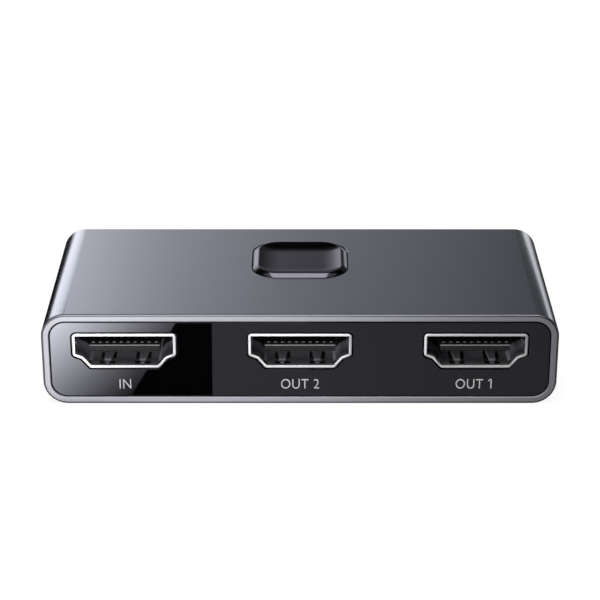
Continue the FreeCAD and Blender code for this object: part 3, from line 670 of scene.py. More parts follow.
@dataclass(frozen=True)
class DrawnShell(Finish):
    """Plated sheet with a polished lip, whose inside is dull from the press, with painted light and shade
    along its depth, painted shade behind the fingers and a painted highlight on the lower fingers.
    """

    # Painted light and shade: the colours below darken the wall just behind the lip and far inside, lighten
    # it between, and paint a highlight on the lower fingers.
    painted_mouth_shade_colour: Triple = (0.17, 0.17, 0.185)
    painted_inner_light_colour: Triple = (0.62, 0.61, 0.68)
    painted_finger_highlight_colour: Triple = (0.682, 0.671, 0.748)
    painted_deep_shade_colour: Triple = (0.05, 0.05, 0.052)
    inside_roughness: float = 0.55
    lip_end_y: float = -16.33
    painted_light_y: float = -13.8
    painted_light_fade: float = 3.6
    deep_shade_y: float = -11.37
    finger_tip_y: float = -15.2
    finger_tip_fade: float = 0.18
    finger_low_z: float = 6.17
    finger_high_z: float = 6.6
    finger_highlight_share: float = 0.9
    line: float = 0.07
    line_stretch: float = 0.05
    stain: float = 1.8
    depth: float = 0.0008
    fade: float = 0.03

    def material(self) -> bpy.types.Material:
        """Builds the plating, dull behind its lip, with painted light and shade inside and a painted
        highlight on the lower fingers.
        """
        graph = Shader(self.name)
        inward = graph.axis(Axis.Y)
        height = graph.axis(Axis.Z)
        inside = inward.above(self.lip_end_y, self.fade)
        drawn = graph.noise(self.line, place=graph.stretched(y=self.line_stretch))
        lip = graph.mix(graph.noise(self.stain).above(0.6, 0.25), self.colour, self.shade(0.95))
        # Painted light and shade: the inside wall is darker just behind the lip and lighter further in.
        painted_light = inward.above(self.painted_light_y, self.painted_light_fade) - drawn * 0.15
        wall = graph.mix(painted_light, self.painted_mouth_shade_colour, self.painted_inner_light_colour)
        # Painted shade: deep inside the shell, behind the fingers, the wall is nearly black.
        wall = graph.mix(inward.above(self.deep_shade_y, self.fade), wall, self.painted_deep_shade_colour)
        # Painted highlight: the lower fingers are lighter behind their tips, and their tips keep the
        # painted deep shade.
        finger = height.above(self.finger_low_z, self.fade) - height.above(self.finger_high_z, self.fade)
        behind_tip = inward.above(self.finger_tip_y, self.finger_tip_fade)
        painted_finger_light = graph.mix(behind_tip, self.painted_deep_shade_colour, self.painted_finger_highlight_colour)
        wall = graph.mix(finger * self.finger_highlight_share, wall, painted_finger_light)
        return graph.surface({
            "Base Color": graph.mix(inside, lip, wall),
            "Metallic": 1.0,
            "Roughness": self.roughness + inside * (self.inside_roughness - self.roughness) + drawn * 0.06,
            "Normal": graph.bump(drawn, self.depth),
        })


@dataclass(frozen=True)
class BoardLaminate(Finish):
    """Circuit board under solder resist, with tracks that show through it."""

    track: float = 0.9
    weave: float = 900.0
    depth: float = 0.012

    def material(self) -> bpy.types.Material:
        """Builds a resist over tracks, with the glass weave showing faintly."""
        graph = Shader(self.name)
        edges = {"feature": "DISTANCE_TO_EDGE", "distance": "CHEBYCHEV"}
        sizes = {"Vector": graph.place(), "Scale": 1 / (self.track * MM)}
        cells = graph.add("ShaderNodeTexVoronoi", edges, sizes, "Distance")
        tracks = 1 - cells.above(0.09, 0.03)
        threads = {"Vector": graph.place(), "Scale": self.weave, "Distortion": 0.6}
        weave = graph.add("ShaderNodeTexWave", {"bands_direction": "X"}, threads)
        resist = graph.mix(weave, self.shade(0.85), self.colour)
        return graph.surface({
            "Base Color": graph.mix(tracks, resist, self.shade(1.8)),
            "Roughness": self.roughness + weave * 0.05,
            "Normal": graph.bump(tracks * 0.8 + weave * 0.2, self.depth),
        })


@dataclass(frozen=True)
class PrintedInk(Finish):
    """Screen-printed ink."""

    screen: float = 0.09
    depth: float = 0.004

    def material(self) -> bpy.types.Material:
        """Builds a slightly uneven ink."""
        graph = Shader(self.name)
        marks = graph.noise(self.screen)
        return graph.surface({
            "Base Color": graph.mix(marks, self.shade(0.86), self.colour),
            "Roughness": self.roughness + marks * 0.1,
            "Normal": graph.bump(marks, self.depth),
        })


@dataclass
class Palette:
    """The part's finishes, named by the record's material slots, and the materials made from them."""

    finishes: tuple[Finish, ...] = (
        AnodisedMetal("anodised_sleeve", (0.188, 0.2, 0.245), 0.2),
        CutMetal("cut_sleeve_face", (0.24, 0.24, 0.266), 0.55),
        CutMetal("cut_sleeve_line", (0.19, 0.19, 0.21), 0.5),
        # Painted shade: the next two cut finishes are darkened copies that paint shade onto bands of the
        # sleeve's end rounding.
        CutMetal("painted_shade_sleeve_line", (0.07, 0.07, 0.078), 0.5),
        CutMetal("painted_deep_shade_sleeve_line", (0.032, 0.032, 0.036), 0.5),
        GlossPlastic("gloss_fascia", (0.0004, 0.0004, 0.0006), 0.02),
        PrintedInk("label_ink", (0.25, 0.25, 0.25), 0.5),
        AnodisedMetal("button_metal", (0.036, 0.035, 0.042), 0.15, 0.03, 0.0004, grazing=(0.84, 0.83, 0.9)),
        DrawnShell("bright_shell", (0.48, 0.48, 0.49), 0.5),
        TongueMoulding("port_moulding", (0.005, 0.0049, 0.0057), 0.5),
        # Painted shade: the contact plating's colour is darkened to stand for the shade inside the socket.
        ContactPlating("contact_plating", (0.07, 0.06, 0.045), 0.35),
        MouldedPlastic("black_tape", (0.01, 0.01, 0.01), 0.85, 0.05, 0.004),
        MouldedPlastic("black_moulding", (0.012, 0.012, 0.013), 0.55),
        BoardLaminate("board_laminate", (0.001, 0.006, 0.003), 0.55),
        PlatedMetal("plated_steel", (0.55, 0.55, 0.56), 0.3),
        MouldedPlastic("plunger_plastic", (0.02, 0.02, 0.02), 0.45),
        PlatedMetal("tinned_leads", (0.6, 0.6, 0.58), 0.35),
        MouldedPlastic("chip_moulding", (0.015, 0.015, 0.015), 0.6, 0.08, 0.01),
        MouldedPlastic("capacitor_ceramic", (0.4, 0.28, 0.17), 0.5, 0.1, 0.005),
        MouldedPlastic("resistor_film", (0.02, 0.02, 0.025), 0.3, 0.2, 0.002),
    )
    made: dict[str, bpy.types.Material] = field(default_factory=dict)

    def get(self, name: str) -> bpy.types.Material:
        """Gives the material of a finish, built once."""
        if name not in self.made:
            wanted = next(finish for finish in self.finishes if finish.name == name)
            self.made[name] = wanted.material()
        return self.made[name]


def settle(piece: bpy.types.Object, body: str, slot: str, *nodes: str) -> None:
    """Makes a finished piece ride on its body and stand for its CAD nodes.

    Args:
        piece: The piece.
        body: The body that it moves with.
        slot: The record's slot of its finish; not used.
        nodes: CAD nodes that it replaces.
    """
    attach(piece, body)
    if nodes:
        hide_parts(*nodes)
    log.info("%s: %d faces on %s", piece.name, len(piece.data.polygons), body)


def made_plain(source: bpy.types.Object, name: str) -> bpy.types.Object:
    """Turns an object and its modifiers into a plain mesh object.

    Args:
        source: The object, which is removed.
        name: Name of the new piece.

    Returns:
        The plain piece.
    """
    bpy.context.view_layer.update()
    evaluated = source.evaluated_get(bpy.context.evaluated_depsgraph_get())
    mesh = bpy.data.meshes.new_from_object(evaluated)
    mesh.transform(source.matrix_world)
    bpy.data.objects.remove(source)
    mesh.name = name
    return linked(name, mesh)


def softened(
    node: bpy.types.Object,
    name: str,
    width: float,
    finish: bpy.types.Material,
) -> bpy.types.Object:
    """Copies a CAD node with its edges rounded, as folding, moulding or tumbling leaves them.

    Args:
        node: The CAD node.
        name: Name of the piece.
        width: Width of the rounding, in millimetres.
        finish: Its material.

    Returns:
        The piece.
    """
    shape = bmesh.new()
    shape.from_mesh(node.data)
    bmesh.ops.remove_doubles(shape, verts=shape.verts, dist=MERGE)
    bmesh.ops.dissolve_limit(shape, angle_limit=FLAT_ANGLE, verts=shape.verts, edges=shape.edges)
    mesh = bpy.data.meshes.new(name + "_base")
    shape.to_mesh(mesh)
    shape.free()
    mesh.materials.clear()
    mesh.materials.append(finish)
    mesh.shade_smooth()
    base = linked(name + "_base", mesh)
    bevel = base.modifiers.new("rounding", "BEVEL")
    bevel.width = width * MM
    bevel.segments = 2
    bevel.limit_method = "ANGLE"
    bevel.angle_limit = EDGE_ANGLE
    bevel.use_clamp_overlap = True
    split = base.modifiers.new("triangles", "TRIANGULATE")
    split.min_vertices = 5
    weights = base.modifiers.new("weights", "WEIGHTED_NORMAL")
    weights.keep_sharp = False
    return made_plain(base, name)


@dataclass
class Sleeve:
    """Extruded aluminium tube with cut ends and the button's opening."""

    width: float = 74.0
    depth: float = 33.0
    height: float = 14.1
    radius: float = 3.5
    wall: float = 1.1
    corner_steps: int = 28
    end_radius: float = 0.33
    end_steps: int = 10
    # Each finish with the turn round the end's edge, in degrees, past which it holds. The two darkest bands
    # are painted shade.
    cuts: tuple[tuple[float, str], ...] = (
        (5.0, "painted_deep_shade_sleeve_line"),
        (35.0, "cut_sleeve_line"),
        (60.0, "painted_shade_sleeve_line"),
        (89.0, "cut_sleeve_face"),
    )
    mouth_chamfer: float = 0.1
    # The button opening's width, depth, corner radius and the y of its middle.
    opening: tuple[float, float, float, float] = (14.2, 13.9, 4.0, 3.76)
    opening_steps: int = 20
    opening_gap: float = 0.12
    opening_edge: float = 0.05

    def rounding(self) -> list[Station]:
        """Gives the rings that round the end's outer edge, from the tube's outside to its end face."""
        rings = []
        for step in range(self.end_steps + 1):
            turned = 90.0 * step / self.end_steps
            angle = math.radians(turned)
            drop = self.end_radius * (1 - math.cos(angle))
            height = self.depth / 2 - self.end_radius * (1 - math.sin(angle))
            rings.append(Station(-drop, height, False, sum(turned > start for start, _ in self.cuts)))
        return rings

    def build(self, palette: Palette) -> None:
        """Builds the tube.

        Args:
            palette: The part's finishes.
        """
        skin = Skin()
        middle = (0.0, self.height / 2)
        outline = rectangle(self.width, self.height, self.radius, middle, self.corner_steps)
        end, mouth, wall, face = self.depth / 2, self.mouth_chamfer, self.wall, len(self.cuts)
        front = self.rounding()
        rear = [Station(ring.offset, -ring.height, False, before.finish)
                for ring, before in zip(front, [Station(0.0, 0.0), *front])]
        stations = [
            *front,
            Station(-wall + mouth, end, True, face),
            Station(-wall, end - mouth),
            Station(-wall, -end + mouth, True, face),
            Station(-wall + mouth, -end, True, face),
            *reversed(rear),
        ]
        # The level top lies between the arcs of the third and the fourth corner.
        top = 3 * (self.corner_steps + 1) - 1
        outer_band, inner_band = len(stations) - 1, len(front) + 1
        skin.sweep(outline, Facing.FRONT, stations, True, {(outer_band, top), (inner_band, top)})
        plan_width, plan_depth, plan_radius, plan_y = self.opening
        plan = rectangle(plan_width, plan_depth, plan_radius, (0.0, plan_y), self.opening_steps)
        gap, edge, ceiling = self.opening_gap, self.opening_edge, self.height - wall
        for band, z, hole_offset, normal in (
            (outer_band, self.height, gap + edge, UP),
            (inner_band, ceiling, gap, -UP),
        ):
            sides = (stations[band], stations[(band + 1) % len(stations)])
            near, far = (outline.ring(Facing.FRONT, side.offset, side.height) for side in sides)
            rim = [near[top], near[top + 1], far[top + 1], far[top]]
            skin.plate(rim, [plan.ring(Facing.TOP, hole_offset, z)], normal)
        skin.sweep(plan, Facing.TOP, [
            Station(gap + edge, self.height),
            Station(gap, self.height - edge),
            Station(gap, ceiling),
        ])
        names = ["anodised_sleeve", *(name for _, name in self.cuts)]
        piece = skin.solid("sleeve_extrusion", [palette.get(name) for name in names])
        settle(piece, CASE_BODY, "anodised_sleeve", "sleeve")


@dataclass
class PortShape:
    """Plug opening of a socket, shared by the fascia's holes and the lips."""

    width: float = 14.0
    height: float = 4.55
    side_drop: float = 2.75
    shoulder_inset: float = 1.1
    shoulder_drop: float = 0.42
    floor_width: float = 9.5
    centre_z: float = 8.39
    lip_width: float = 0.5
    corner_radius: float = 0.16
    corner_steps: int = 10
    shoulder_radius: float = 0.7
    pitch: float = 25.18

    def outline(self, x: float, concave: float) -> Outline:
        """Makes the opening's line.

        Args:
            x: The socket's centre, in millimetres.
            concave: Radius at the shoulders.

        Returns:
            The outline.
        """
        roof = self.centre_z + self.height / 2
        side_end = roof - self.side_drop
        half = self.width / 2
        right = [
            (self.floor_width / 2, roof - self.height, self.corner_radius),
            (half - self.shoulder_inset, side_end - self.shoulder_drop, concave),
            (half, side_end, self.corner_radius),
            (half, roof, self.corner_radius),
        ]
        left = [(x - u, v, radius) for u, v, radius in reversed(right)]
        return Outline([(x + u, v, radius) for u, v, radius in right] + left, self.corner_steps)

    def centres(self) -> list[float]:
        """Gives the sockets' centres from left to right."""
        return [-self.pitch, 0.0, self.pitch]


@dataclass
class Fascia:
    """Gloss plate that closes one end of the sleeve."""

    name: str
    node: str
    facing: Facing
    ports: PortShape | None = None
    width: float = 71.54
    height: float = 11.64
    radius: float = 2.27
    corner_steps: int = 20
    centre_z: float = 7.05
    front: float = 16.38
    thickness: float = 1.2
    edge: float = 0.08
    edge_round: float = 0.3
    hole_gap: float = 0.15
    hole_edge: float = 0.03
    hole_shoulder: float = 0.12

    def build(self, palette: Palette) -> None:
        """Builds the plate.

        Args:
            palette: The part's finishes.
        """
        skin = Skin()
        outline = rectangle(self.width, self.height, self.radius, (0.0, self.centre_z), self.corner_steps)
        front, back = self.front, self.front - self.thickness
        skin.sweep(outline, self.facing, [
            Station(0.0, back),
            Station(0.0, front - self.edge, False),
            Station(-self.edge * self.edge_round, front - self.edge * self.edge_round, False),
            Station(-self.edge, front),
        ])
        holes = []
        grow = wide = 0.0
        if self.ports:
            grow = self.ports.lip_width + self.hole_gap
            wide = grow + self.hole_edge
            holes = [self.ports.outline(x, wide + self.hole_shoulder) for x in self.ports.centres()]
        for hole in holes:
            stations = [Station(wide, front), Station(grow, front - self.hole_edge), Station(grow, back)]
            skin.sweep(hole, self.facing, stations)
        outward = self.facing.direction(0.0, 0.0, 1.0)
        for inset, reach, height, normal in (
            (self.edge, wide, front, outward),
            (0.0, grow, back, -outward),
        ):
            cut = [hole.ring(self.facing, reach, height) for hole in holes]
            skin.plate(outline.ring(self.facing, -inset, height), cut, normal)
        piece = skin.solid(self.name, [palette.get("gloss_fascia")])
        settle(piece, CASE_BODY, "gloss_fascia", self.node)


@dataclass
class Button:
    """Cap with a bevel, a dished top, a flange and a stem."""

    width: float = 14.2
    depth: float = 13.9
    radius: float = 4.0
    centre_y: float = 3.76
    flange_top: float = 12.96
    flange_bottom: float = 12.16
    flange_lip: float = 0.7
    flange_radius: float = 0.15
    stem_bottom: float = 11.36
    stem_diameter: float = 4.4
    case_top: float = 14.1
    rise: float = 0.5
    bevel: float = 0.88
    dish_depth: float = 0.6
    dish_ramp: float = 3.0
    dish_steps: int = 14
    dish_start: float = 0.02
    dish_power: float = 2.2
    edge: float = 0.07
    # The rim's rounding, in shares of the edge: where it starts, how far it reaches, and its two drops.
    round_start: float = 2.0
    round_reach: float = 0.4
    round_drops: tuple[float, float] = (0.35, 0.3)
    plan_steps: int = 24
    flange_steps: int = 3
    stem_steps: int = 12
    stem_flat: float = 0.001

    def dish(self) -> list[Station]:
        """Gives the rings of the dish, from the rim to the level middle."""
        rim = self.case_top + self.rise
        rings = []
        for step in range(self.dish_steps + 1):
            share = step / self.dish_steps if step else self.dish_start
            drop = self.dish_depth * (1 - (1 - share) ** self.dish_power)
            rings.append(Station(-self.bevel - share * self.dish_ramp, rim - drop, False))
        return rings

    def build(self, palette: Palette) -> None:
        """Builds the cap.

        Args:
            palette: The part's finishes.
        """
        skin = Skin()
        centre, lips, wide = (0.0, self.centre_y), 2 * self.flange_lip, self.stem_diameter
        plan = rectangle(self.width, self.depth, self.radius, centre, self.plan_steps)
        flange = rectangle(self.width + lips, self.depth + lips, self.flange_radius, centre,
                           self.flange_steps)
        stem = rectangle(wide, wide, wide / 2 - self.stem_flat, centre, self.stem_steps)
        rim = self.case_top + self.rise
        slope = self.rise / self.bevel
        edge = self.edge
        start, reach = edge * self.round_start, edge * self.round_reach
        drop_out, drop_in = self.round_drops
        stations = [
            Station(0.0, self.flange_top),
            Station(0.0, self.case_top - edge, False),
            Station(-edge, self.case_top + edge * slope, False),
            Station(-self.bevel + start, rim - start * slope, False),
            Station(-self.bevel + reach, rim - edge * drop_out, False),
            Station(-self.bevel - reach, rim - edge * drop_in, False),
            *self.dish(),
        ]
        skin.sweep(plan, Facing.TOP, stations)
        skin.sweep(flange, Facing.TOP, [Station(0.0, self.flange_bottom), Station(0.0, self.flange_top)])
        skin.sweep(stem, Facing.TOP, [Station(0.0, self.stem_bottom), Station(0.0, self.flange_bottom)])
        floor = stations[-1]
        for line, offset, z, holes, normal in (
            (plan, floor.offset, floor.height, [], UP),
            (flange, 0.0, self.flange_top, [plan], UP),
            (flange, 0.0, self.flange_bottom, [stem], -UP),
            (stem, 0.0, self.stem_bottom, [], -UP),
        ):
            cut = [hole.ring(Facing.TOP, 0.0, z) for hole in holes]
            skin.plate(line.ring(Facing.TOP, offset, z), cut, normal)
        piece = skin.solid("dished_button", [palette.get("button_metal")])
        settle(piece, BUTTON_BODY, "button_metal", "button_cap")


@dataclass
class ContactRow:
    """Row of a socket's contacts, bent from strip and set out by Geometry Nodes."""

    name: str
    count: int
    blade_z: float
    leg_y: float
    tip_rise: float
    pitch: float = 1.0
    strip_width: float = 0.42
    sheet: float = 0.12
    bend_radius: float = 0.16
    bend_steps: int = 5
    tip_y: float = -15.23
    bend_y: float = -14.88
    foot_length: float = 0.7
    board_z: float = 5.815

    def sizes(self, centre: float) -> dict[str, float]:
        """Gives the tree's inputs in millimetres, for a socket's centre."""
        return {
            "Pitch": self.pitch,
            "Centre": centre,
            "Tip": self.tip_y,
            "Bend": self.bend_y,
            "Leg": self.leg_y,
            "Foot": self.leg_y + self.sheet / 2 + self.foot_length,
            "Tip height": self.blade_z + self.tip_rise,
            "Blade height": self.blade_z,
            "Board height": self.board_z + self.sheet / 2,
            "Strip width": self.strip_width,
            "Sheet": self.sheet,
            "Bend radius": self.bend_radius,
        }

    def tree(self, finish: bpy.types.Material) -> bpy.types.GeometryNodeTree:
        """Builds the tree that bends one contact and repeats it.

        Args:
            finish: Material of the contacts.

        Returns:
            The node tree, with its sizes as named inputs.
        """
        tree = bpy.data.node_groups.new("contact_row", "GeometryNodeTree")
        tree.interface.new_socket("Geometry", in_out="OUTPUT", socket_type="NodeSocketGeometry")
        tree.interface.new_socket("Count", in_out="INPUT", socket_type="NodeSocketInt")
        for name in self.sizes(0.0):
            tree.interface.new_socket(name, in_out="INPUT", socket_type="NodeSocketFloat")
        graph = Graph(tree)
        source = tree.nodes.new("NodeGroupInput")
        given = {socket.name: Wire(graph, socket) for socket in source.outputs}
        stops = (
            ("Tip", "Tip height"),
            ("Bend", "Blade height"),
            ("Leg", "Blade height"),
            ("Leg", "Board height"),
            ("Foot", "Board height"),
        )
        line = graph.add("GeometryNodeCurvePrimitiveLine")
        dots = graph.add("GeometryNodeResampleCurve", {"mode": "COUNT"},
                         {"Curve": line, "Count": len(stops)})
        switch = tree.nodes.new("GeometryNodeIndexSwitch")
        switch.data_type = "VECTOR"
        while len(switch.index_switch_items) < len(stops):
            switch.index_switch_items.new()
        graph.feed(switch.inputs[0], graph.add("GeometryNodeInputIndex"))
        for slot, (y_name, z_name) in enumerate(stops, 1):
            point = graph.add("ShaderNodeCombineXYZ", None, {"Y": given[y_name], "Z": given[z_name]})
            graph.feed(switch.inputs[slot], point)
        places = Wire(graph, switch.outputs[0])
        bent = graph.add("GeometryNodeSetPosition", None, {"Geometry": dots, "Position": places})
        rounded = graph.add("GeometryNodeFilletCurve", {"mode": "POLY"},
                            {"Curve": bent, "Count": self.bend_steps, "Radius": given["Bend radius"]})
        level = graph.add("GeometryNodeSetCurveNormal", {"mode": "Z_UP"}, {"Curve": rounded})
        section = graph.add("GeometryNodeCurvePrimitiveQuadrilateral", None,
                            {"Width": given["Strip width"], "Height": given["Sheet"]})
        strip = graph.add("GeometryNodeCurveToMesh", None,
                          {"Curve": level, "Profile Curve": section, "Fill Caps": True})
        first = given["Centre"] - (given["Count"] - 1.0) * given["Pitch"] * 0.5
        start = graph.add("ShaderNodeCombineXYZ", None, {"X": first})
        step = graph.add("ShaderNodeCombineXYZ", None, {"X": given["Pitch"]})
        row = graph.add("GeometryNodeMeshLine", {"mode": "OFFSET"},
                        {"Count": given["Count"], "Start Location": start, "Offset": step})
        copies = graph.add("GeometryNodeInstanceOnPoints", None, {"Points": row, "Instance": strip})
        real = graph.add("GeometryNodeRealizeInstances", None, {"Geometry": copies})
        dressed = graph.add("GeometryNodeSetMaterial", None, {"Geometry": real, "Material": finish})
        graph.feed(tree.nodes.new("NodeGroupOutput").inputs[0], dressed)
        return tree

    def build(self, tree: bpy.types.GeometryNodeTree, socket: str, centre: float) -> bpy.types.Object:
        """Makes one socket's row as a plain mesh.

        Args:
            tree: The contact tree.
            socket: The socket's name.
            centre: X of its middle, in millimetres.

        Returns:
            The row.
        """
        name = f"{socket}_{self.name}_contacts"
        holder = linked(name + "_holder", bpy.data.meshes.new(name + "_holder"))
        modifier = holder.modifiers.new("contacts", "NODES")
        modifier.node_group = tree
        sizes = self.sizes(centre)
        for item in tree.interface.items_tree:
            if item.in_out == "INPUT":
                modifier[item.identifier] = sizes[item.name] * MM if item.name in sizes else self.count
        return made_plain(holder, name)


@dataclass
class Sockets:
    """The three receptacles: folded shells, insulators and contacts."""

    shape: PortShape
    names: tuple[str, str, str] = ("input", "output_2", "output_1")
    shell_edge: float = 0.04
    lip_back: float = -15.78
    lip_fixed: float = 0.34
    lip_share: float = 0.44
    lead_in_y: float = -16.3
    lead_in_share: float = 0.4
    margin: float = 0.01
    insulator_edge: float = 0.09
    upper: ContactRow = field(default_factory=lambda: ContactRow("upper", 10, 9.115, -4.37, -0.21))
    lower: ContactRow = field(default_factory=lambda: ContactRow("lower", 9, 7.755, -5.32, 0.21))

    def trim_lip(self, shell: bpy.types.Object, x: float) -> None:
        """Narrows a shell's lip at its outer edge and at its lead-in, as polishing leaves it.

        Args:
            shell: The shell.
            x: The socket's centre, in millimetres.
        """
        line = [Vector(point) for point in self.shape.outline(x, self.shape.shoulder_radius).points]
        for vertex in shell.data.vertices:
            if vertex.co.y / MM > self.lip_back + self.margin:
                continue
            here = vertex.co.xz / MM
            feet = []
            for start, end in zip(line, line[1:] + line[:1]):
                along = end - start
                share = (here - start).dot(along) / along.length_squared if along.length else 0.0
                feet.append(start + along * min(max(share, 0.0), 1.0))
            foot = min(feet, key=lambda point: (point - here).length_squared)
            offset = (here - foot).length
            if offset > self.lip_fixed:
                kept = self.lip_fixed + (offset - self.lip_fixed) * self.lip_share
            elif vertex.co.y / MM < self.lead_in_y and offset > self.margin:
                kept = offset * self.lead_in_share
            else:
                continue
            vertex.co.x, vertex.co.z = (foot + (here - foot) * (kept / offset)) * MM

    def build(self, nodes: dict[str, bpy.types.Object], palette: Palette) -> None:
        """Builds the receptacles.

        Args:
            nodes: The CAD nodes by name.
            palette: The part's finishes.
        """
        tree = self.upper.tree(palette.get("contact_plating"))
        for name, x in zip(self.names, self.shape.centres()):
            port = name + "_port_"
            shell = softened(nodes[port + "shell"], name + "_shell", self.shell_edge,
                             palette.get("bright_shell"))
            self.trim_lip(shell, x)
            settle(shell, CASE_BODY, "bright_shell", port + "shell")
            insulator = softened(nodes[port + "insulator"], name + "_insulator", self.insulator_edge,
                                 palette.get("port_moulding"))
            settle(insulator, CASE_BODY, "port_moulding", port + "insulator")
            settle(self.upper.build(tree, name, x), CASE_BODY, "contact_plating", port + "contacts")
            settle(self.lower.build(tree, name, x), CASE_BODY, "contact_plating")


@dataclass
class Labels:
    """Plain words printed under the sockets."""

    shape: PortShape
    words: tuple[str, str, str] = ("IN", "OUT 2", "OUT 1")
    cap_height: float = 1.62
    base_z: float = 2.4
    front_y: float = -16.38
    ink_thickness: float = 0.012
    narrowing: float = 0.84
    spacing: float = 1.06
    thinning: float = 0.012
    em_to_cap: float = 0.729
    curve_steps: int = 8
    flag_reach: float = 0.34
    flag_drop: float = 0.3
    flag_width: float = 0.22
    stroke_search: float = 0.4

    def add_flag(self, mesh: bpy.types.Mesh) -> None:
        """Gives a figure 1 at the word's end the flag that the font's bare stroke lacks.

        Args:
            mesh: The printed word.
        """
        places = [vertex.co.x / MM for vertex in mesh.vertices]
        stroke_from = max(places) - self.stroke_search
        left = min(x for x in places if x > stroke_from)
        top = self.base_z + self.cap_height
        tip, tip_top = left - self.flag_reach, top - self.flag_drop
        outline = (
            (left, top),
            (tip, tip_top),
            (tip, tip_top - self.flag_width),
            (left, top - self.flag_width),
        )
        solid = bmesh.new()
        solid.from_mesh(mesh)
        front, back = (
            [solid.verts.new(Vector((x, y, z)) * MM) for x, z in outline]
            for y in (self.front_y - self.ink_thickness, self.front_y)
        )
        solid.faces.new(front)
        solid.faces.new(back)
        for index in range(len(outline)):
            solid.faces.new((front[index - 1], front[index], back[index], back[index - 1]))
        bmesh.ops.recalc_face_normals(solid, faces=solid.faces)
        solid.to_mesh(mesh)
        solid.free()

    def build(self, palette: Palette) -> None:
        """Prints each word.

        Args:
            palette: The part's finishes.
        """
        for word, x in zip(self.words, self.shape.centres()):
            name = "label_" + word.lower().replace(" ", "_")
            curve = bpy.data.curves.new(name + "_text", "FONT")
            curve.body = word
            curve.size = self.cap_height / self.em_to_cap
            curve.align_x = "CENTER"
            curve.space_character = self.spacing
            curve.offset = -self.thinning
            curve.extrude = self.ink_thickness / 2
            curve.resolution_u = self.curve_steps
            piece = made_plain(linked(name + "_text", curve), name)
            for vertex in piece.data.vertices:
                u, v, depth = vertex.co
                y = self.front_y - self.ink_thickness / 2 - depth
                vertex.co = Vector((x + u * self.narrowing, y, self.base_z + v)) * MM
            if word.endswith("1"):
                self.add_flag(piece.data)
            piece.data.materials.clear()
            piece.data.materials.append(palette.get("label_ink"))
            settle(piece, CASE_BODY, "gloss_fascia")


def on_floor(*corners: tuple[float, float], z: float = 0.05) -> list[Triple]:
    """Places a card's (x, y) corners just above the floor."""
    return [(x, y, z) for x, y in corners]


def upright(*corners: tuple[float, float], y: float = 500.0) -> list[Triple]:
    """Places a card's (x, z) corners far behind the object."""
    return [(x, y, z) for x, z in corners]


@dataclass(frozen=True)
class Card:
    """Level or upright studio card, in millimetres, which only reflections show."""

    name: str
    corners: Sequence[Triple]
    level: float = 0.0

    def strength(self, graph: Shader) -> Wire | float:
        """Gives the card's brightness, where the white background is 1."""
        return self.level

    def build(self) -> None:
        """Sets up the card, out of the camera's sight and casting no shadow."""
        graph = Shader(self.name + "_glow")
        mesh = bpy.data.meshes.new(self.name)
        mesh.from_pydata([Vector(corner) * MM for corner in self.corners], [], [range(len(self.corners))])
        glow = graph.add("ShaderNodeEmission", None, {"Strength": self.strength(graph)})
        mesh.materials.append(graph.finished(glow))
        card = linked(self.name, mesh)
        card.visible_camera = False
        card.visible_diffuse = False
        card.visible_transmission = False
        card.visible_shadow = False


@dataclass(frozen=True)
class GradedCard(Card):
    """Card whose brightness changes along one axis, as a softly lit backdrop's does."""

    stops: tuple[tuple[float, float], ...] = ()
    axis: Axis = Axis.X

    def strength(self, graph: Shader) -> Wire | float:
        """Gives a brightness that passes smoothly through the stops.

        Args:
            graph: The card's node tree.

        Returns:
            A wire.
        """
        low, high = self.stops[0][0], self.stops[-1][0]
        peak = max(brightness for _, brightness in self.stops)
        stops = [((place - low) / (high - low), brightness / peak) for place, brightness in self.stops]
        share = (graph.axis(self.axis) - low) / (high - low)
        return graph.add("ShaderNodeValToRGB", {"stops": stops}, {0: share}) * peak


@dataclass(frozen=True)
class LitCard(Card):
    """Card lit from the front left, so that it darkens to the right and towards the object."""

    edge_x: float = -24.7
    edge_lean: float = 0.19
    front_y: float = -16.38
    away: float = 0.06
    across: float = 0.1
    both: float = 0.014
    across_squared: float = 0.028
    near: float = 0.004
    near_across: float = 0.0025
    reach: float = 27.0

    def strength(self, graph: Shader) -> Wire | float:
        """Gives the brightness.

        Args:
            graph: The card's node tree.

        Returns:
            A wire.
        """
        away = (self.front_y - graph.axis(Axis.Y)).maths("MINIMUM", self.reach)
        left = (self.edge_x + away * self.edge_lean - graph.axis(Axis.X)).maths("MAXIMUM", 0.0)
        glow = away * self.away + left * (self.across + away * self.both + left * self.across_squared)
        near = (self.reach - away) * (self.near + left * self.near_across)
        return (glow + near) * self.level


@dataclass(frozen=True)
class Lamp:
    """Soft rectangular lamp, in millimetres and watts."""

    name: str
    place: Triple
    target: Triple
    width: float
    height: float
    power: float
    reflected: bool = True

    def build(self) -> None:
        """Hangs the lamp, out of the camera's sight."""
        data = bpy.data.lights.new(self.name, "AREA")
        data.shape = "RECTANGLE"
        data.size = self.width * MM
        data.size_y = self.height * MM
        data.energy = self.power
        lamp = linked(self.name, data)
        lamp.location = Vector(self.place) * MM
        lamp.rotation_euler = (Vector(self.target) - Vector(self.place)).to_track_quat("-Z", "Y").to_euler()
        lamp.visible_camera = False
        lamp.visible_glossy = self.reflected


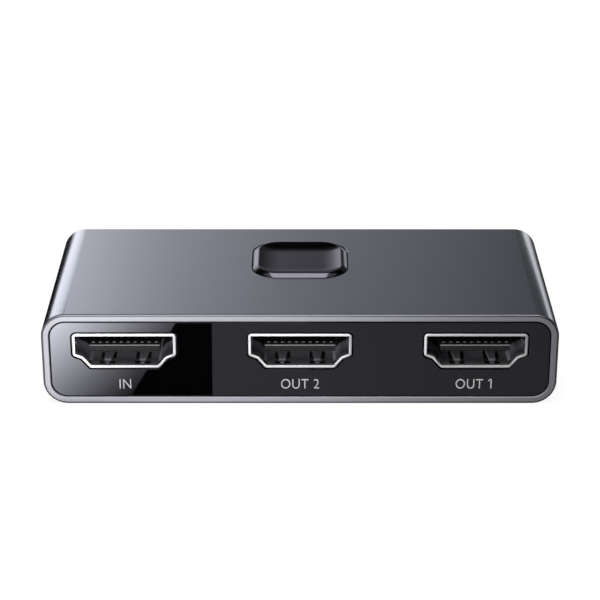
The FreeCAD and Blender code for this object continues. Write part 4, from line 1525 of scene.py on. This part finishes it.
@dataclass
class Studio:
    """Floor, world, lamps, cards and camera."""

    floor_size: float = 6000.0
    floor_glow: float = 0.9
    floor_colour: float = 0.9
    ambient: float = 0.45
    lens: float = 120.479
    elevation: float = 23.84
    distance: float = 284.108
    sensor_width: float = 36.0
    nearest: float = 0.005
    farthest: float = 20.0
    target: Triple = (0.0, -16.5, 16.419)
    lamps: tuple[Lamp, ...] = (
        Lamp("overhead_softbox", (-20.0, -45.0, 400.0), (-20.0, -45.0, 0.0), 260.0, 290.0, 1.9),
        Lamp("front_softbox", (-22.0, -110.0, 18.0), (-12.0, -16.0, 6.0), 56.0, 30.0, 0.11),
        Lamp("room_light", (-150.0, 60.0, 500.0), (0.0, 0.0, 0.0), 400.0, 400.0, 0.8, False),
    )
    cards: tuple[Card, ...] = (
        GradedCard(
            "graded_backdrop",
            upright((-700.0, 45.0), (-80.0, 30.0), (-80.0, 0.0), (90.0, 0.0), (90.0, 32.0), (200.0, 75.0),
                    (700.0, 75.0), (700.0, 295.0), (-700.0, 295.0)),
            stops=((-420.0, 1.3), (-300.0, 2.8), (-180.0, 2.65), (-105.0, 1.95), (-89.0, 1.54),
                   (-67.0, 1.08), (-50.0, 0.9), (-28.0, 0.76), (0.0, 0.54), (60.0, 0.36),
                   (110.0, 0.17), (420.0, 0.1)),
        ),
        GradedCard(
            "back_flag",
            ((-700.0, 500.0, 295.0), (700.0, 500.0, 295.0), (700.0, 300.0, 1200.0),
             (-700.0, 300.0, 1200.0)),
            stops=((295.0, 0.4), (340.0, 0.27), (420.0, 0.08), (520.0, 0.02), (1200.0, 0.015)),
            axis=Axis.Z,
        ),
        Card("right_strip", upright((90.0, 0.0), (500.0, 0.0), (500.0, 75.0), (200.0, 75.0),
                                    (90.0, 32.0)), 1.6),
        Card("left_low_flag", upright((-700.0, 0.0), (-80.0, 0.0), (-80.0, 30.0), (-700.0, 45.0)), 0.03),
        Card("left_floor_flag", on_floor((-38.2, -16.0), (-38.2, 18.0), (-30.0, 18.0), (-30.0, 499.0),
                                         (-320.0, 499.0), (-90.0, -16.0))),
        Card("right_floor_flag", on_floor((38.2, -16.0), (85.0, -16.0), (110.0, 110.0), (30.0, 110.0),
                                          (30.0, 18.0), (38.2, 18.0)), 0.05),
        Card("rear_floor_flag", on_floor((-30.0, 18.0), (30.0, 18.0), (30.0, 499.0), (-30.0, 499.0)), 0.1),
        Card("left_flag", ((-450.0, -200.0, 0.0), (-450.0, 340.0, 0.0), (-450.0, 340.0, 600.0),
                           (-450.0, -200.0, 600.0)), 0.03),
        Card("right_flag", ((450.0, -200.0, 0.0), (450.0, 340.0, 0.0), (450.0, 340.0, 600.0),
                            (450.0, -200.0, 600.0)), 0.03),
        Card("front_right_flag", ((2.0, -75.0, 2.0), (220.0, -50.0, 2.0), (220.0, -50.0, 160.0),
                                  (2.0, -75.0, 160.0))),
        Card("front_flag", on_floor((-12.75, -18.8), (-24.6, -18.8), (-19.3, -46.0), (-13.95, -46.0))),
        GradedCard("front_right_floor",
                   on_floor((-12.75, -18.8), (-13.95, -46.0), (75.0, -46.0), (60.0, -18.8)),
                   stops=((-14.0, 0.5), (0.0, 0.47), (17.0, 0.4), (40.0, 0.33), (75.0, 0.25))),
        GradedCard("front_strip", on_floor((-38.0, -16.9), (-38.0, -18.8), (38.0, -18.8), (38.0, -16.9)),
                   stops=((-38.0, 1.1), (-31.0, 1.25), (-21.0, 1.9), (-14.0, 1.8), (0.0, 1.2), (14.0, 0.65),
                          (38.0, 0.3))),
        GradedCard("rear_low_flag",
                   upright((-80.0, 0.0), (90.0, 0.0), (90.0, 110.0), (-80.0, 110.0), y=498.0),
                   stops=((0.0, 0.1), (60.0, 0.2), (110.0, 0.42)), axis=Axis.Z),
        Card("front_right_low_flag", on_floor((0.0, -46.0), (10.0, -75.0), (220.0, -55.0), (220.0, -18.8),
                                              (60.0, -18.8), (75.0, -46.0)), 0.1),
        Card("contact_shade", on_floor((-38.2, -16.9), (38.2, -16.9), (38.2, 18.0), (-38.2, 18.0), z=0.03)),
        LitCard("front_lit_card",
                on_floor((-24.6, -18.8), (-36.7, -18.8), (-40.2, -46.0), (-19.3, -46.0)), 0.582),
    )

    def seen_directly(self, graph: Graph) -> Wire:
        """Gives 1 on rays from the camera, a gloss or a clear surface, which show the pale background."""
        camera, gloss, clear = (graph.add("ShaderNodeLightPath", output=name)
                                for name in ("Is Camera Ray", "Is Glossy Ray", "Is Transmission Ray"))
        return camera.maths("MAXIMUM", gloss).maths("MAXIMUM", clear)

    def build_floor(self) -> None:
        """Lays the pale floor, which keeps the object's shadow."""
        graph = Shader("pale_floor")
        diffuse = graph.add("ShaderNodeBsdfDiffuse", None, {"Color": (self.floor_colour,) * 3})
        glow = graph.add("ShaderNodeEmission", None, {"Strength": 1.0})
        share = self.seen_directly(graph) * self.floor_glow
        mixed = graph.add("ShaderNodeMixShader", None, {0: share, 1: diffuse, 2: glow})
        half = self.floor_size / 2 * MM
        corners = [(-half, -half, 0), (half, -half, 0), (half, half, 0), (-half, half, 0)]
        mesh = bpy.data.meshes.new("floor")
        mesh.from_pydata(corners, [], [range(len(corners))])
        mesh.materials.append(graph.finished(mixed))
        linked("floor", mesh)

    def build_world(self) -> None:
        """Surrounds the object with a plain pale world."""
        world = bpy.data.worlds.new("studio")
        bpy.context.scene.world = world
        world.use_nodes = True
        world.cycles.sampling_method = "NONE"
        graph = Graph(world.node_tree)
        ends = {"Value": self.seen_directly(graph), "To Min": self.ambient, "To Max": 1.0}
        background = world.node_tree.nodes["Background"]
        background.inputs["Color"].default_value = (1.0, 1.0, 1.0, 1.0)
        graph.feed(background.inputs["Strength"], graph.add("ShaderNodeMapRange", None, ends))

    def build_camera(self) -> None:
        """Sets the camera where the photograph was taken from."""
        data = bpy.data.cameras.new("camera")
        data.lens = self.lens
        data.sensor_width = self.sensor_width
        data.sensor_fit = "HORIZONTAL"
        data.clip_start = self.nearest
        data.clip_end = self.farthest
        camera = linked("camera", data)
        angle = math.radians(self.elevation)
        away = Vector((0.0, -math.cos(angle), math.sin(angle))) * self.distance
        camera.location = (Vector(self.target) + away) * MM
        camera.rotation_euler = (math.pi / 2 - angle, 0.0, 0.0)
        bpy.context.scene.camera = camera

    def build(self) -> None:
        """Sets up the whole studio."""
        self.build_camera()
        self.build_world()
        self.build_floor()
        for item in (*self.lamps, *self.cards):
            item.build()
        bpy.context.scene.view_settings.view_transform = "Standard"


def dress_nodes(nodes: dict[str, bpy.types.Object], record: dict, palette: Palette) -> None:
    """Gives every CAD node the finish of its slot.

    Args:
        nodes: The CAD nodes by name.
        record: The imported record.
        palette: The part's finishes.
    """
    slots = {part["node"]: part["material_slot"] for part in record["subparts"]}
    for name, node in nodes.items():
        node.data.materials.clear()
        node.data.materials.append(palette.get(slots[name]))


def main() -> None:
    """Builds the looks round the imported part."""
    logging.basicConfig(level=logging.INFO, format="%(name)s: %(message)s")
    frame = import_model()
    palette = Palette()
    Studio().build()
    dress_nodes(frame["nodes"], frame["record"], palette)
    shape = PortShape()
    Sleeve().build(palette)
    Fascia("front_gloss_plate", "front_fascia", Facing.FRONT, shape).build(palette)
    Fascia("rear_gloss_plate", "rear_fascia", Facing.BACK).build(palette)
    Button().build(palette)
    Sockets(shape).build(frame["nodes"], palette)
    Labels(shape).build(palette)


if __name__ == "__main__":
    main()
